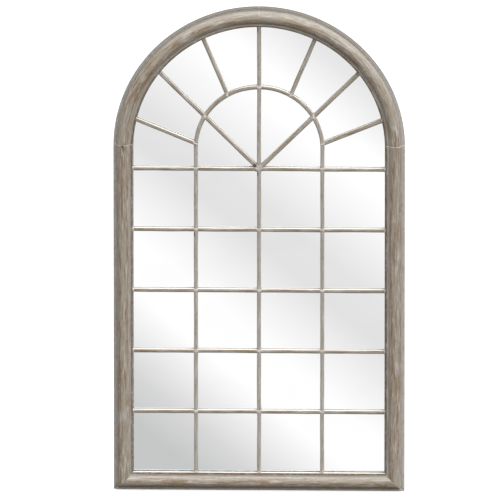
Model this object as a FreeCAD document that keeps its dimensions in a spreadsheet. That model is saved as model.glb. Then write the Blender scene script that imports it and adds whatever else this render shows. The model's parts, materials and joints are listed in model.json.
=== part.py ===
"""Arched window mirror.

A frame of five wooden mouldings (two stiles, a mitred bottom rail and two arch quarters) holds one sheet of mirror
glass. A grille of glazing bars lies on the front of the glass, let into the frame's inner lip. The back board,
joint hardware and hanging rings are on the back.

Millimetres. The origin is the bottom centre of the frame's back plane. The front faces -Y and +Z is up, so a depth
is a distance in front of the back plane, towards -Y.
"""
import FreeCAD, Part
import math
import os
import Sketcher

SIZES = (
    ("overall_width", 870, "frame, outer edge to outer edge"),
    ("overall_height", 1500, "frame, bottom edge to crown"),
    ("moulding_width", 58, "frame face, outer edge to inner edge"),
    ("outer_lip_width", 10, "flat lip along the outer edge"),
    ("outer_lip_depth", 16, "depth of the outer lip"),
    ("outer_lip_rounding", 2.5, "rounding of the outer lip's front edge"),
    ("outer_step", 5, "rise from the outer lip to the round"),
    ("crown_inset", 29, "outer edge to the highest line of the round"),
    ("crown_depth", 40, "depth of the round at its highest line"),
    ("inner_lip_width", 11, "flat lip along the inner edge"),
    ("inner_lip_depth", 28, "depth of the inner lip"),
    ("inner_lip_rounding", 3, "rounding of the inner lip's front edge"),
    ("inner_step", 3, "rise from the inner lip to the round"),
    ("rebate_width", 8, "lip over the glass"),
    ("rebate_depth", 12, "back plane to the lip that the glass lies against"),
    ("seam_rise", 12, "spring line up to the seam between stile and arch"),
    ("bar_width", 12, "glazing bar, across"),
    ("bar_thickness", 10, "glazing bar, glass to front"),
    ("bar_crown", 5, "rounded part of a glazing bar's thickness"),
    ("bar_housing", 5, "length of bar let into the frame"),
    ("hub_drop", 64.5, "spring line down to the hub of the fan"),
    ("ray_angle", 22.5, "angle between neighbouring rays of the fan, degrees"),
    ("ray_overlap", 3, "how far a short ray's end reaches past the ring's outer side"),
    ("glass_thickness", 4, "mirror glass"),
    ("board_thickness", 5, "backing board"),
    ("glass_clearance", 1, "glass edge to the rebate's wall"),
    ("pad_length", 40, "setting pad under the glass"),
    ("pad_place", 200, "middle of the mirror to a setting pad"),
    ("point_width", 10, "glazier's point, along the rebate"),
    ("point_thickness", 0.8, "glazier's point"),
    ("point_bite", 8, "glazier's point, length in the wood"),
    ("point_cover", 8, "glazier's point, length over the board"),
    ("dowel_diameter", 8, "joint dowel"),
    ("dowel_length", 30, "joint dowel"),
    ("dowel_chamfer", 1, "joint dowel's ends"),
    ("dowel_depth", 20, "back plane to a dowel's axis"),
    ("dowel_inset", 24, "outer edge to the first dowel of a joint"),
    ("dowel_spacing", 12, "first dowel to the second, across the moulding"),
    ("plate_length", 80, "joint plate, or one leg of a corner plate"),
    ("plate_width", 16, "joint plate"),
    ("plate_thickness", 2, "joint plate"),
    ("plate_clearance", 0.3, "joint plate's edge to the edge of its housing"),
    ("screw_length", 12, "joint plate screw"),
    ("screw_diameter", 3.5, "joint plate screw's shank"),
    ("screw_head", 7, "joint plate screw's head diameter"),
    ("screw_head_height", 1.8, "joint plate screw's countersunk head"),
    ("strap_length", 55, "hanger strap below its eye's axis"),
    ("strap_width", 16, "hanger strap"),
    ("strap_thickness", 1.5, "hanger strap"),
    ("strap_rounding", 6, "hanger strap's lower corners"),
    ("hanger_drop", 77, "seam down to the hanger's eye"),
    ("hanger_screw_length", 20, "hanger screw"),
    ("hanger_screw_diameter", 4, "hanger screw's shank"),
    ("hanger_screw_head", 8, "hanger screw's head diameter"),
    ("hanger_screw_head_height", 1.4, "hanger screw's countersunk head"),
    ("hanger_screw_first", 30, "eye's axis down to the upper hanger screw"),
    ("hanger_screw_spacing", 16, "upper hanger screw to the lower"),
    ("ring_wire", 4, "hanging ring's wire diameter"),
    ("ring_play", 0.3, "clearance of the wire in the eye"),
    ("ring_inner_width", 24, "hanging ring, between its legs"),
    ("ring_reach", 20, "hanging ring, eye's axis to the middle of the bow's wire"),
    ("ring_bend", 4, "hanging ring's corner bends, at the wire's axis"),
    ("recess_length", 4.4, "cross recess in a screw head"),
    ("recess_width", 1, "cross recess in a screw head"),
    ("recess_depth", 1, "cross recess in a screw head"),
    ("bumper_diameter", 16, "wall bumper's base"),
    ("bumper_taper", 1, "wall bumper's radius lost towards the wall"),
    ("bumper_thickness", 8, "wall bumper"),
    ("bumper_height", 125, "bottom edge up to a wall bumper"),
    ("trim_margin", 2, "how far a trimming cut runs past the wood"),
)

CROSS_BARS = 5          # cross bars between the bottom rail and the spring line
SIDE_POINTS = 4         # glazier's points along each stile
ARCH_POINTS = 3         # glazier's points along each arch quarter
RAIL_POINTS = 3         # glazier's points along the bottom rail
LOW_STEPS = 1           # ray angles from the horizontal up to a low ray
DIAGONAL_STEPS = 2      # and up to a diagonal
HIGH_STEPS = 3          # and up to a high ray
TOLERANCE = 1e-6        # how closely two numbers of one place agree
ROLL_END = 250          # where the strap's rolled eye ends, degrees round its axis from +Y towards +Z
LEFT = 1                # an outline's arc that turns left
RIGHT = -1              # an outline's arc that turns right

document = FreeCAD.newDocument("ArchedWindowMirror")
sheet = document.addObject("Spreadsheet::Sheet", "Sizes")
subparts = []


class Size:
    """A number, together with the spreadsheet formula that it comes from. A bare number is its own formula."""

    def __init__(self, number, formula=None):
        self.number = float(number)
        self.formula = formula or repr(self.number)

    def joined(self, sign, other, number):
        return Size(number, f"({self.formula} {sign} {other.formula})")

    def __add__(self, other):
        other = as_size(other)
        return self.joined("+", other, self.number + other.number)

    def __sub__(self, other):
        other = as_size(other)
        return self.joined("-", other, self.number - other.number)

    def __mul__(self, other):
        other = as_size(other)
        return self.joined("*", other, self.number * other.number)

    def __truediv__(self, other):
        other = as_size(other)
        return self.joined("/", other, self.number / other.number)

    def __neg__(self):
        return self * -1


def as_size(value):
    return value if isinstance(value, Size) else Size(value)


def sine(angle):
    angle = as_size(angle)
    return Size(math.sin(math.radians(angle.number)), f"sin({angle.formula})")


def cosine(angle):
    angle = as_size(angle)
    return Size(math.cos(math.radians(angle.number)), f"cos({angle.formula})")


def square_root(square):
    return Size(math.sqrt(square.number), f"sqrt({square.formula})")


def fill_sheet():
    for row, (alias, number, meaning) in enumerate(SIZES, start=1):
        sheet.set(f"A{row}", meaning)
        sheet.set(f"B{row}", str(number))
        sheet.setAlias(f"B{row}", alias)
    document.recompute()


def size(alias):
    return Size(sheet.get(alias), f"Sizes.{alias}")


def bind(thing, path, value):
    thing.setExpression(path, as_size(value).formula)


def place(thing, x=0, y=0, z=0, angle=0):
    """Puts a thing at x, y, z, turned so that its own +X points at that angle above the mirror's +X."""
    angle = as_size(angle)
    turn = FreeCAD.Rotation(FreeCAD.Vector(0, -1, 0), angle.number)
    thing.Placement = FreeCAD.Placement(FreeCAD.Vector(), turn)
    if angle.formula != repr(angle.number):
        bind(thing, "Placement.Rotation.Angle", angle)
    for axis, value in (("x", x), ("y", y), ("z", z)):
        bind(thing, f"Placement.Base.{axis}", value)


def publish(thing, label):
    """Gives a finished sub-part the name of its node."""
    thing.Label = label
    subparts.append(thing)
    return thing


# Outlines ------------------------------------------------------------------------------------------------------

def corner(x, y, centre=None, turn=LEFT):
    """A corner of an outline; the side that leaves it is an arc where it is given a centre."""
    return as_size(x), as_size(y), centre, turn


def polar(centre, radius, angle):
    """The point at that radius and angle from a centre."""
    return centre[0] + radius * cosine(angle), centre[1] + radius * sine(angle)


def vector(x, y):
    return FreeCAD.Vector(as_size(x).number, as_size(y).number, 0)


def arc_between(start, end, centre):
    """The arc that runs anticlockwise from start to end."""
    from_centre = start - centre
    to_end = end - centre
    first = math.atan2(from_centre.y, from_centre.x)
    last = math.atan2(to_end.y, to_end.x)
    if last <= first:
        last += 2 * math.pi
    circle = Part.Circle(centre, FreeCAD.Vector(0, 0, 1), from_centre.Length)
    return Part.ArcOfCircle(circle, first, last)


def fix_point(sketch, side, point, axis, value):
    """Ties one coordinate of a point to its size."""
    if value.number == 0:
        line = -2 if axis == "X" else -1
        sketch.addConstraint(Sketcher.Constraint("PointOnObject", side, point, line))
        return
    constraint = Sketcher.Constraint("Distance" + axis, -1, 1, side, point, value.number)
    number = sketch.addConstraint(constraint)
    bind(sketch, f"Constraints[{number}]", value)


def draw(sketch, corners):
    """Draws a closed outline, every corner of it tied to its sizes."""
    ends = []
    points = [vector(x, y) for x, y, _, _ in corners]
    for index, (_, _, centre, turn) in enumerate(corners):
        start = points[index]
        end = points[(index + 1) % len(corners)]
        if centre is None:
            sketch.addGeometry(Part.LineSegment(start, end), False)
            ends.append((1, 2))
        elif turn == LEFT:
            sketch.addGeometry(arc_between(start, end, vector(*centre)), False)
            ends.append((1, 2))
        else:
            sketch.addGeometry(arc_between(end, start, vector(*centre)), False)
            ends.append((2, 1))
    for index, (x, y, centre, _) in enumerate(corners):
        following = (index + 1) % len(corners)
        meeting = Sketcher.Constraint("Coincident", index, ends[index][1], following, ends[following][0])
        sketch.addConstraint(meeting)
        fix_point(sketch, index, ends[index][0], "X", x)
        fix_point(sketch, index, ends[index][0], "Y", y)
        if centre is not None:
            chord = points[following] - points[index]
            if abs(chord.x) > abs(chord.y):
                fix_point(sketch, index, 3, "Y", as_size(centre[1]))
            else:
                fix_point(sketch, index, 3, "X", as_size(centre[0]))


def rectangle(left, bottom, right, top):
    return [corner(left, bottom), corner(right, bottom), corner(right, top), corner(left, top)]


# Features ------------------------------------------------------------------------------------------------------

def new_body(name):
    return document.addObject("PartDesign::Body", name + "_stock")


def new_sketch(body, plane_role, corners=()):
    """A sketch on one of the body's own planes: XY_Plane, YZ_Plane or XZ_Plane (whose normal is -Y)."""
    plane = [feature for feature in body.Origin.OriginFeatures if feature.Role == plane_role][0]
    sketch = body.newObject("Sketcher::SketchObject", body.Name + "_sketch")
    sketch.AttachmentSupport = (plane, [""])
    sketch.MapMode = "FlatFace"
    if corners:
        draw(sketch, corners)
    return sketch


def pad(body, plane_role, corners, length, symmetric=False):
    feature = body.newObject("PartDesign::Pad", body.Name + "_pad")
    feature.Profile = new_sketch(body, plane_role, corners)
    feature.SideType = "Symmetric" if symmetric else "One side"
    bind(feature, "Length", length)
    return feature


def revolve(body, plane_role, corners, axis, angle, backwards=False):
    sketch = new_sketch(body, plane_role, corners)
    feature = body.newObject("PartDesign::Revolution", body.Name + "_revolution")
    feature.Profile = sketch
    feature.ReferenceAxis = (sketch, [axis])
    feature.Reversed = backwards
    bind(feature, "Angle", angle)
    return feature


def checked_loss(body, feature):
    """Makes sure that a cut has taken something off its body."""
    document.recompute()
    if feature.Shape.Volume >= feature.BaseFeature.Shape.Volume:
        raise RuntimeError(f"{feature.Name} cuts nothing from {body.Name}")


def trim(body, corners):
    """Takes an outline in the XZ plane off the body, right through its depth."""
    sketch = new_sketch(body, "XZ_Plane", corners)
    feature = body.newObject("PartDesign::Pocket", body.Name + "_trim")
    feature.Profile = sketch
    feature.Type = "ThroughAll"
    feature.SideType = "Symmetric"
    checked_loss(body, feature)


def cut(label, base, tools):
    """The base with each tool taken out of it, one after another."""
    for tool in tools:
        result = document.addObject("Part::Cut", label + "_cut")
        result.Base = base
        result.Tool = tool
        base = result
    return base


def mirror_image(source, name):
    """The same thing on the mirror's other side."""
    result = document.addObject("Part::Mirroring", name + "_mirroring")
    result.Source = source
    result.Normal = FreeCAD.Vector(1, 0, 0)
    return result


def mirrored(source, label):
    """Publishes the right-hand piece that matches a left-hand one."""
    return publish(mirror_image(source, label), label)


def compound(name, things):
    result = document.addObject("Part::Compound", name + "_group")
    result.Links = things
    return result


def copies(name, master, places):
    """A group of equal pieces; each place gives x, y, z and the angle of the piece's own +X."""
    links = []
    for x, y, z, angle in places:
        link = document.addObject("App::Link", name + "_copy")
        link.LinkedObject = master
        place(link, x, y, z, angle)
        links.append(link)
    return compound(name, links)


# Layout --------------------------------------------------------------------------------------------------------

fill_sheet()

half_width = size("overall_width") / 2
moulding_width = size("moulding_width")
spring_height = size("overall_height") - half_width
seam_height = spring_height + size("seam_rise")
inner_half_width = half_width - moulding_width
rail_top = moulding_width

rebate_wall = moulding_width - size("rebate_width")
rebate_half_width = half_width - rebate_wall
glass_half_width = rebate_half_width - size("glass_clearance")
glass_front = size("rebate_depth")
board_front = glass_front - size("glass_thickness")
board_back = board_front - size("board_thickness")

back_line = rebate_wall / 2
back_line_x = half_width - back_line

column_pitch = inner_half_width / 2
hub_height = spring_height - size("hub_drop")
row_pitch = (hub_height - rail_top) / CROSS_BARS
ring_radius = column_pitch

bar_half_width = size("bar_width") / 2
bar_front = glass_front + size("bar_thickness")
bar_shoulder = bar_front - size("bar_crown")
housing_half_width = inner_half_width + size("bar_housing")
margin = size("trim_margin")


# Frame ---------------------------------------------------------------------------------------------------------

def moulding_section(put):
    """The moulding's outline; put gives the sketch point for an inset from the outer edge and a depth."""
    lip_depth = size("outer_lip_depth")
    lip_width = size("outer_lip_width")
    lip_rounding = size("outer_lip_rounding")
    inner_depth = size("inner_lip_depth")
    inner_rounding = size("inner_lip_rounding")
    quirk_inset = moulding_width - size("inner_lip_width")
    quirk_depth = inner_depth + size("inner_step")
    outer_foot = lip_depth + size("outer_step")
    crown_inset = size("crown_inset")
    crown_depth = size("crown_depth")

    def round_centre(run, rise):
        """The centre of the arc that ends level at the crown after that run and rise."""
        radius = (run * run + rise * rise) / (rise * 2)
        return put(crown_inset, crown_depth - radius)

    inner_centre = round_centre(quirk_inset - crown_inset, crown_depth - quirk_depth)
    outer_centre = round_centre(crown_inset - lip_width, crown_depth - outer_foot)
    return [
        (put(Size(0), Size(0)), None),
        (put(rebate_wall, Size(0)), None),
        (put(rebate_wall, size("rebate_depth")), None),
        (put(moulding_width, size("rebate_depth")), None),
        (put(moulding_width, inner_depth - inner_rounding),
         put(moulding_width - inner_rounding, inner_depth - inner_rounding)),
        (put(moulding_width - inner_rounding, inner_depth), None),
        (put(quirk_inset, inner_depth), None),
        (put(quirk_inset, quirk_depth), inner_centre),
        (put(crown_inset, crown_depth), outer_centre),
        (put(lip_width, outer_foot), None),
        (put(lip_width, lip_depth), None),
        (put(lip_rounding, lip_depth), put(lip_rounding, lip_depth - lip_rounding)),
        (put(Size(0), lip_depth - lip_rounding), None),
    ]


def section_corners(put, turn):
    """The moulding's section as an outline whose arcs all turn the same way."""
    return [corner(x, y, centre, turn) for (x, y), centre in moulding_section(put)]


def build_stile():
    """The straight left side, mitred at its foot and butted against the arch at its head."""
    body = new_body("stile_left")
    section = section_corners(lambda inset, depth: (inset - half_width, -depth), RIGHT)
    pad(body, "XY_Plane", section, seam_height)
    trim(body, [
        corner(-half_width - margin, -margin),
        corner(-inner_half_width + margin, -margin),
        corner(-inner_half_width + margin, moulding_width + margin),
    ])
    return body


def build_arch():
    """The left quarter of the arch, from the seam up to the crown; its own origin is the arch's centre."""
    body = new_body("arch_left")
    section = section_corners(lambda inset, depth: (inset - half_width, -depth), RIGHT)
    revolve(body, "XY_Plane", section, "V_Axis", 90)
    place(body, z=spring_height)
    foot = rectangle(-half_width - margin, -margin, -inner_half_width + margin, size("seam_rise"))
    trim(body, foot)
    return body


def build_rail():
    """The bottom rail, mitred at both ends."""
    body = new_body("bottom_rail")
    section = section_corners(lambda inset, depth: (-depth, inset), LEFT)
    pad(body, "YZ_Plane", section, size("overall_width"), symmetric=True)
    for side in (-1, 1):
        trim(body, [
            corner((half_width + margin) * side, -margin),
            corner((inner_half_width - margin) * side, moulding_width + margin),
            corner((half_width + margin) * side, moulding_width + margin),
        ])
    return body


# Grille --------------------------------------------------------------------------------------------------------

def bar_section(put):
    """A glazing bar: square behind, rounded in front; put gives the sketch point for an offset and a depth."""
    crown = size("bar_crown")
    radius = (bar_half_width * bar_half_width + crown * crown) / (crown * 2)
    centre = put(Size(0), bar_front - radius)
    return [
        (put(-bar_half_width, glass_front), None),
        (put(bar_half_width, glass_front), None),
        (put(bar_half_width, bar_shoulder), centre),
        (put(-bar_half_width, bar_shoulder), None),
    ]


def flat_section(put, back, front):
    """A plain strip of the bar's width between two depths, for the halved joints."""
    return [
        (put(-bar_half_width, back), None),
        (put(bar_half_width, back), None),
        (put(bar_half_width, front), None),
        (put(-bar_half_width, front), None),
    ]


def back_half(put):
    return flat_section(put, glass_front, bar_shoulder)


def front_half(put):
    return flat_section(put, bar_shoulder, bar_front + margin)


def straight_bar(name, section, x, z, angle, length):
    """A bar that starts at x, z on the mirror's face and runs at that angle above the mirror's +X."""
    body = new_body(name)
    points = section(lambda offset, depth: (-depth, offset))
    outline = [corner(px, py, centre, LEFT) for (px, py), centre in points]
    pad(body, "YZ_Plane", outline, length)
    place(body, x=x, z=z, angle=angle)
    return body


def half_ring(name, section):
    """The half ring that joins the heads of the side uprights; its own origin is the arch's centre."""
    body = new_body(name)
    points = section(lambda offset, depth: (ring_radius + offset, -depth))
    outline = [corner(px, py, centre, RIGHT) for (px, py), centre in points]
    revolve(body, "XY_Plane", outline, "V_Axis", 180, backwards=True)
    place(body, z=spring_height)
    return body


def reach(angle, radius):
    """The distance along a ray, from the hub to a circle of that radius about the arch's centre."""
    drop = size("hub_drop")
    across = drop * cosine(angle)
    return drop * sine(angle) + square_root(radius * radius - across * across)


def ray(name, section, elevation, start, side):
    """A bar that radiates from the hub and ends in the arch, on the left (-1) or right (1)."""
    angle = elevation if side == 1 else as_size(180) - elevation
    x = start * cosine(angle)
    z = hub_height + start * sine(angle)
    length = reach(elevation, housing_half_width) - start
    return straight_bar(name, section, x, z, angle, length)


def build_uprights():
    """The three uprights with their sections: centre up to the crown, side ones up to the ring."""
    foot = rail_top - size("bar_housing")
    centre_length = spring_height + housing_half_width - foot
    side_length = spring_height - foot
    layout = (
        ("bar_upright_left", -column_pitch, side_length),
        ("bar_upright_centre", Size(0), centre_length),
        ("bar_upright_right", column_pitch, side_length),
    )
    stocks = {}
    fronts = {}
    for name, x, length in layout:
        stocks[name] = straight_bar(name, bar_section, x, foot, 90, length)
        fronts[name] = straight_bar(name + "_front", front_half, x, foot, 90, length)
    return stocks, fronts


def build_cross_bars():
    """The cross bars, from stile to stile."""
    stocks = {}
    backs = []
    for number in range(1, CROSS_BARS + 1):
        name = f"bar_cross_{number}"
        z = rail_top + row_pitch * number
        length = housing_half_width * 2
        stocks[name] = straight_bar(name, bar_section, -housing_half_width, z, 0, length)
        backs.append(straight_bar(name + "_back", back_half, -housing_half_width, z, 0, length))
    return stocks, backs


def build_grille():
    """Every bar, halved into the bars that it crosses. Returns the bars that each frame member has to take."""
    uprights, upright_fronts = build_uprights()
    cross_bars, cross_backs = build_cross_bars()
    ring = half_ring("fan_ring", bar_section)
    ring_back = half_ring("fan_ring_back", back_half)
    cross_back_group = compound("cross_backs", cross_backs)

    for name, stock in uprights.items():
        tools = [cross_back_group]
        if name == "bar_upright_centre":
            tools.append(ring_back)
        publish(cut(name, stock, tools), name)

    upright_front_group = compound("upright_fronts", list(upright_fronts.values()))
    for name, stock in cross_bars.items():
        publish(cut(name, stock, [upright_front_group]), name)

    elevation = size("ray_angle") * DIAGONAL_STEPS
    start = bar_half_width
    ring_tools = [upright_fronts["bar_upright_centre"]]
    arch_bars = [uprights["bar_upright_centre"]]
    hub_bars = [uprights["bar_upright_centre"], cross_bars[f"bar_cross_{CROSS_BARS}"]]
    for side, word in ((-1, "left"), (1, "right")):
        name = f"ray_diagonal_{word}"
        stock = ray(name, bar_section, elevation, start, side)
        front = ray(name + "_front", front_half, elevation, start, side)
        ring_tools.append(front)
        publish(cut(name, stock, hub_bars + [ring_back]), name)
        if side == -1:
            arch_bars.append(stock)
    publish(cut("fan_ring", ring, ring_tools), "fan_ring")

    ring_edge = ring_radius + bar_half_width - size("ray_overlap")
    for word, steps in (("high", HIGH_STEPS), ("low", LOW_STEPS)):
        elevation = size("ray_angle") * steps
        start = reach(elevation, ring_edge)
        for side, side_word in ((-1, "left"), (1, "right")):
            name = f"ray_{word}_{side_word}"
            stock = ray(name, bar_section, elevation, start, side)
            publish(cut(name, stock, [ring]), name)
            if side == -1:
                arch_bars.append(stock)
    return {
        "stile": [compound("cross_bars", list(cross_bars.values()))],
        "arch": arch_bars,
        "rail": [compound("uprights", list(uprights.values()))],
    }


# Glazing -------------------------------------------------------------------------------------------------------

def arched_sheet(name, front, thickness):
    """A sheet that fills the rebate, with its front at that depth."""
    body = new_body(name)
    foot = rebate_wall + size("glass_clearance")
    outline = [
        corner(-glass_half_width, foot),
        corner(glass_half_width, foot),
        corner(glass_half_width, spring_height, (Size(0), spring_height)),
        corner(-glass_half_width, spring_height),
    ]
    pad(body, "XZ_Plane", outline, thickness)
    place(body, y=thickness - front)
    return publish(body, name)


def build_setting_pads():
    """Two soft pads that keep the glass off the bottom rail."""
    pads = []
    for side in (-1, 1):
        box = document.addObject("Part::Box", "setting_pad")
        bind(box, "Length", size("pad_length"))
        bind(box, "Width", size("glass_thickness"))
        bind(box, "Height", size("glass_clearance"))
        place(box, x=size("pad_place") * side - size("pad_length") / 2, y=-glass_front, z=rebate_wall)
        pads.append(box)
    publish(compound("glass_setting_pads", pads), "glass_setting_pads")


def middle_shares(count):
    """How far along a length the middles of its equal parts lie, as shares of the length."""
    return [(2 * number + 1) / (2 * count) for number in range(count)]


def build_glazier_points():
    """Thin steel tabs driven into the rebate's wall, which hold the board against the glass."""
    master = new_body("glazier_point")
    half = size("point_width") / 2
    pad(master, "XZ_Plane", rectangle(-half, -size("point_bite"), half, size("point_cover")),
        size("point_thickness"))
    y = size("point_thickness") - board_back
    left = []
    for share in middle_shares(SIDE_POINTS):
        z = rail_top + (spring_height - rail_top) * share
        left.append((-rebate_half_width, y, z, -90))
    for share in middle_shares(ARCH_POINTS):
        angle = 180 - 90 * share
        x, z = polar((Size(0), spring_height), rebate_half_width, angle)
        left.append((x, y, z, angle + 90))
    right = [(-x, y, z, -angle) for x, y, z, angle in left]
    foot = []
    for share in middle_shares(RAIL_POINTS):
        x = inner_half_width * (2 * share - 1)
        foot.append((x, y, rebate_wall, 0))
    return publish(copies("glazier_points", master, left + foot + right), "glazier_points")


# Joints --------------------------------------------------------------------------------------------------------

plate_end = (size("plate_length") - size("plate_width")) / 2
plate_leg_end = size("plate_length") - size("plate_width")
crown_line = size("overall_height") - back_line


def turned(name, corners, axis):
    """A round piece turned about a sketch axis of the XY plane."""
    body = new_body(name)
    revolve(body, "XY_Plane", corners, axis, 360)
    return body


def build_dowels():
    """Two dowels in each of the frame's five joints."""
    radius = size("dowel_diameter") / 2
    half = size("dowel_length") / 2
    chamfer = size("dowel_chamfer")
    master = turned("joint_dowel", [
        corner(-half, 0),
        corner(half, 0),
        corner(half, radius - chamfer),
        corner(half - chamfer, radius),
        corner(-half + chamfer, radius),
        corner(-half, radius - chamfer),
    ], "H_Axis")
    y = -size("dowel_depth")
    places = []
    for number in range(2):
        inset = size("dowel_inset") + size("dowel_spacing") * number
        places.append((inset - half_width, y, seam_height, 90))
        places.append((half_width - inset, y, seam_height, 90))
        places.append((inset - half_width, y, inset, -45))
        places.append((half_width - inset, y, inset, 45))
        places.append((Size(0), y, size("overall_height") - inset, 0))
    return publish(copies("joint_dowels", master, places), "joint_dowels")


def screw_blank(name, prefix):
    """A countersunk wood screw before its recess is cut, which is also the shape of the hole that it fills.

    Its head's face is at y = 0 and its tip points to -Y.
    """
    head = size(prefix + "_head") / 2
    shank = size(prefix + "_diameter") / 2
    length = size(prefix + "_length")
    return turned(name, [
        corner(0, 0),
        corner(0, -length),
        corner(shank, -length + shank * 2),
        corner(shank, -size(prefix + "_head_height")),
        corner(head, 0),
    ], "V_Axis")


def countersunk_screw(name, prefix):
    """The screw with a cross recess in its head."""
    master = screw_blank(name, prefix)
    arm = size("recess_length") / 2
    web = size("recess_width") / 2
    cross = [
        corner(-arm, -web), corner(-web, -web), corner(-web, -arm), corner(web, -arm),
        corner(web, -web), corner(arm, -web), corner(arm, web), corner(web, web),
        corner(web, arm), corner(-web, arm), corner(-web, web), corner(-arm, web),
    ]
    sketch = new_sketch(master, "XZ_Plane", cross)
    recess = master.newObject("PartDesign::Pocket", name + "_recess")
    recess.Profile = sketch
    recess.Reversed = True
    bind(recess, "Length", size("recess_depth"))
    checked_loss(master, recess)
    return master


def plate_screw_places():
    """Four screws in each joint plate: at the ends' centres and halfway to the joint."""
    places = []
    for end, leg_end in ((plate_end, plate_leg_end), (plate_end / 2, plate_leg_end / 2)):
        for side in (-1, 1):
            places.append((end * side, 0, crown_line, 0))
            places.append((back_line_x * side, 0, seam_height - end, 0))
            places.append((back_line_x * side, 0, seam_height + end, 0))
            places.append((back_line_x * side, 0, back_line + leg_end, 0))
            places.append(((back_line_x - leg_end) * side, 0, back_line, 0))
    return places


def straight_plate(name, clearance=0):
    """A mending plate with round ends, along its own X axis, or the housing that takes it with that clearance."""
    body = new_body(name)
    radius = size("plate_width") / 2 + clearance
    end = plate_end
    pad(body, "XZ_Plane", [
        corner(-end, -radius),
        corner(end, -radius, (end, Size(0))),
        corner(end, radius),
        corner(-end, radius, (-end, Size(0))),
    ], size("plate_thickness"))
    return body


def corner_plate(name, clearance=0):
    """An angle plate with round ends, or its housing; its own origin is where the legs' middle lines cross."""
    body = new_body(name)
    radius = size("plate_width") / 2 + clearance
    end = plate_leg_end
    pad(body, "XZ_Plane", [
        corner(-radius, -radius),
        corner(end, -radius, (end, Size(0))),
        corner(end, radius),
        corner(radius, radius),
        corner(radius, end, (Size(0), end)),
        corner(-radius, end),
    ], size("plate_thickness"))
    return body


def laid_out_plates(suffix="", clearance=0):
    """The crown plate, the left seam plate and the left corner plate, flush with the back, or their housings."""
    crown = straight_plate("crown_plate" + suffix, clearance)
    place(crown, z=crown_line)
    seam = straight_plate("seam_plate_left" + suffix, clearance)
    place(seam, x=-back_line_x, z=seam_height, angle=90)
    angle = corner_plate("corner_plate_left" + suffix, clearance)
    place(angle, x=-back_line_x, z=back_line)
    return crown, seam, angle


def build_plates(screw_holes):
    """The plates that tie the joints together across the frame's back."""
    crown, seam, angle = laid_out_plates()
    publish(cut("crown_plate", crown, [screw_holes]), "crown_plate")
    mirrored(publish(cut("seam_plate_left", seam, [screw_holes]), "seam_plate_left"), "seam_plate_right")
    mirrored(publish(cut("corner_plate_left", angle, [screw_holes]), "corner_plate_left"), "corner_plate_right")


def plate_housings():
    """The shallow recesses that let the plates into the left stile, the left arch quarter and the rail."""
    crown, seam, angle = laid_out_plates("_housing", size("plate_clearance"))
    return compound("plate_housings", [crown, seam, angle, mirror_image(angle, "corner_plate_right_housing")])


# Hanging hardware ----------------------------------------------------------------------------------------------

hanger_height = seam_height - size("hanger_drop")
eye_inner_radius = size("ring_wire") / 2 + size("ring_play")
eye_outer_radius = eye_inner_radius + size("strap_thickness")


def hanger_screw_places():
    y = size("strap_thickness")
    places = []
    for number in range(2):
        z = hanger_height - size("hanger_screw_first") - size("hanger_screw_spacing") * number
        for side in (-1, 1):
            places.append((back_line_x * side, y, z, 0))
    return places


def build_strap(screw_holes):
    """A steel strap whose upper end is rolled into an eye; its own origin is on the eye's axis."""
    body = new_body("hanger_strap_left")
    thickness = size("strap_thickness")
    foot = -size("strap_length")
    centre = (eye_outer_radius, Size(0))
    outer_end = polar(centre, eye_outer_radius, ROLL_END)
    inner_end = polar(centre, eye_inner_radius, ROLL_END)
    strip = pad(body, "YZ_Plane", [
        corner(0, foot),
        corner(0, 0, centre, RIGHT),
        corner(*outer_end),
        corner(*inner_end, centre, LEFT),
        corner(thickness, 0),
        corner(thickness, foot),
    ], size("strap_width"), symmetric=True)
    document.recompute()
    corners = []
    for number, edge in enumerate(strip.Shape.Edges, start=1):
        box = edge.BoundBox
        at_foot = abs(box.ZMax - foot.number) < TOLERANCE
        across_thickness = box.XLength < TOLERANCE
        if at_foot and across_thickness:
            corners.append(f"Edge{number}")
    rounding = body.newObject("PartDesign::Fillet", "strap_rounding")
    rounding.Base = (strip, corners)
    bind(rounding, "Radius", size("strap_rounding"))
    place(body, x=-back_line_x, z=hanger_height)
    left = publish(cut("hanger_strap_left", body, [screw_holes]), "hanger_strap_left")
    mirrored(left, "hanger_strap_right")


def build_ring():
    """A D-shaped ring of round wire; its own origin is the middle of the straight side, in the strap's eye."""
    body = new_body("hanger_ring_left")
    wire_radius = size("ring_wire") / 2
    bow_radius = size("ring_inner_width") / 2 + wire_radius
    bend = size("ring_bend")
    straight = bow_radius - bend
    bow_height = bow_radius - size("ring_reach")
    spine = new_sketch(body, "XZ_Plane", [
        corner(0, 0),
        corner(straight, 0, (straight, -bend), RIGHT),
        corner(bow_radius, -bend),
        corner(bow_radius, bow_height, (Size(0), bow_height), RIGHT),
        corner(-bow_radius, bow_height),
        corner(-bow_radius, -bend, (-straight, -bend), RIGHT),
        corner(-straight, 0),
    ])
    section = new_sketch(body, "YZ_Plane")
    section.addGeometry(Part.Circle(FreeCAD.Vector(), FreeCAD.Vector(0, 0, 1), wire_radius.number), False)
    section.addConstraint(Sketcher.Constraint("Coincident", 0, 3, -1, 1))
    number = section.addConstraint(Sketcher.Constraint("Radius", 0, wire_radius.number))
    bind(section, f"Constraints[{number}]", wire_radius)
    pipe = body.newObject("PartDesign::AdditivePipe", "hanger_ring_pipe")
    pipe.Profile = section
    pipe.Spine = spine
    place(body, x=-back_line_x, y=eye_outer_radius, z=hanger_height)
    mirrored(publish(body, "hanger_ring_left"), "hanger_ring_right")


def build_bumpers():
    """Two rubber bumpers that hold the lower end off the wall by as much as the hangers do."""
    radius = size("bumper_diameter") / 2
    top = radius - size("bumper_taper")
    thickness = size("bumper_thickness")
    master = turned("wall_bumper", [
        corner(0, 0),
        corner(radius, 0),
        corner(top, thickness),
        corner(0, thickness),
    ], "V_Axis")
    places = [(back_line_x * side, 0, size("bumper_height"), 0) for side in (-1, 1)]
    publish(copies("wall_bumpers", master, places), "wall_bumpers")


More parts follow.
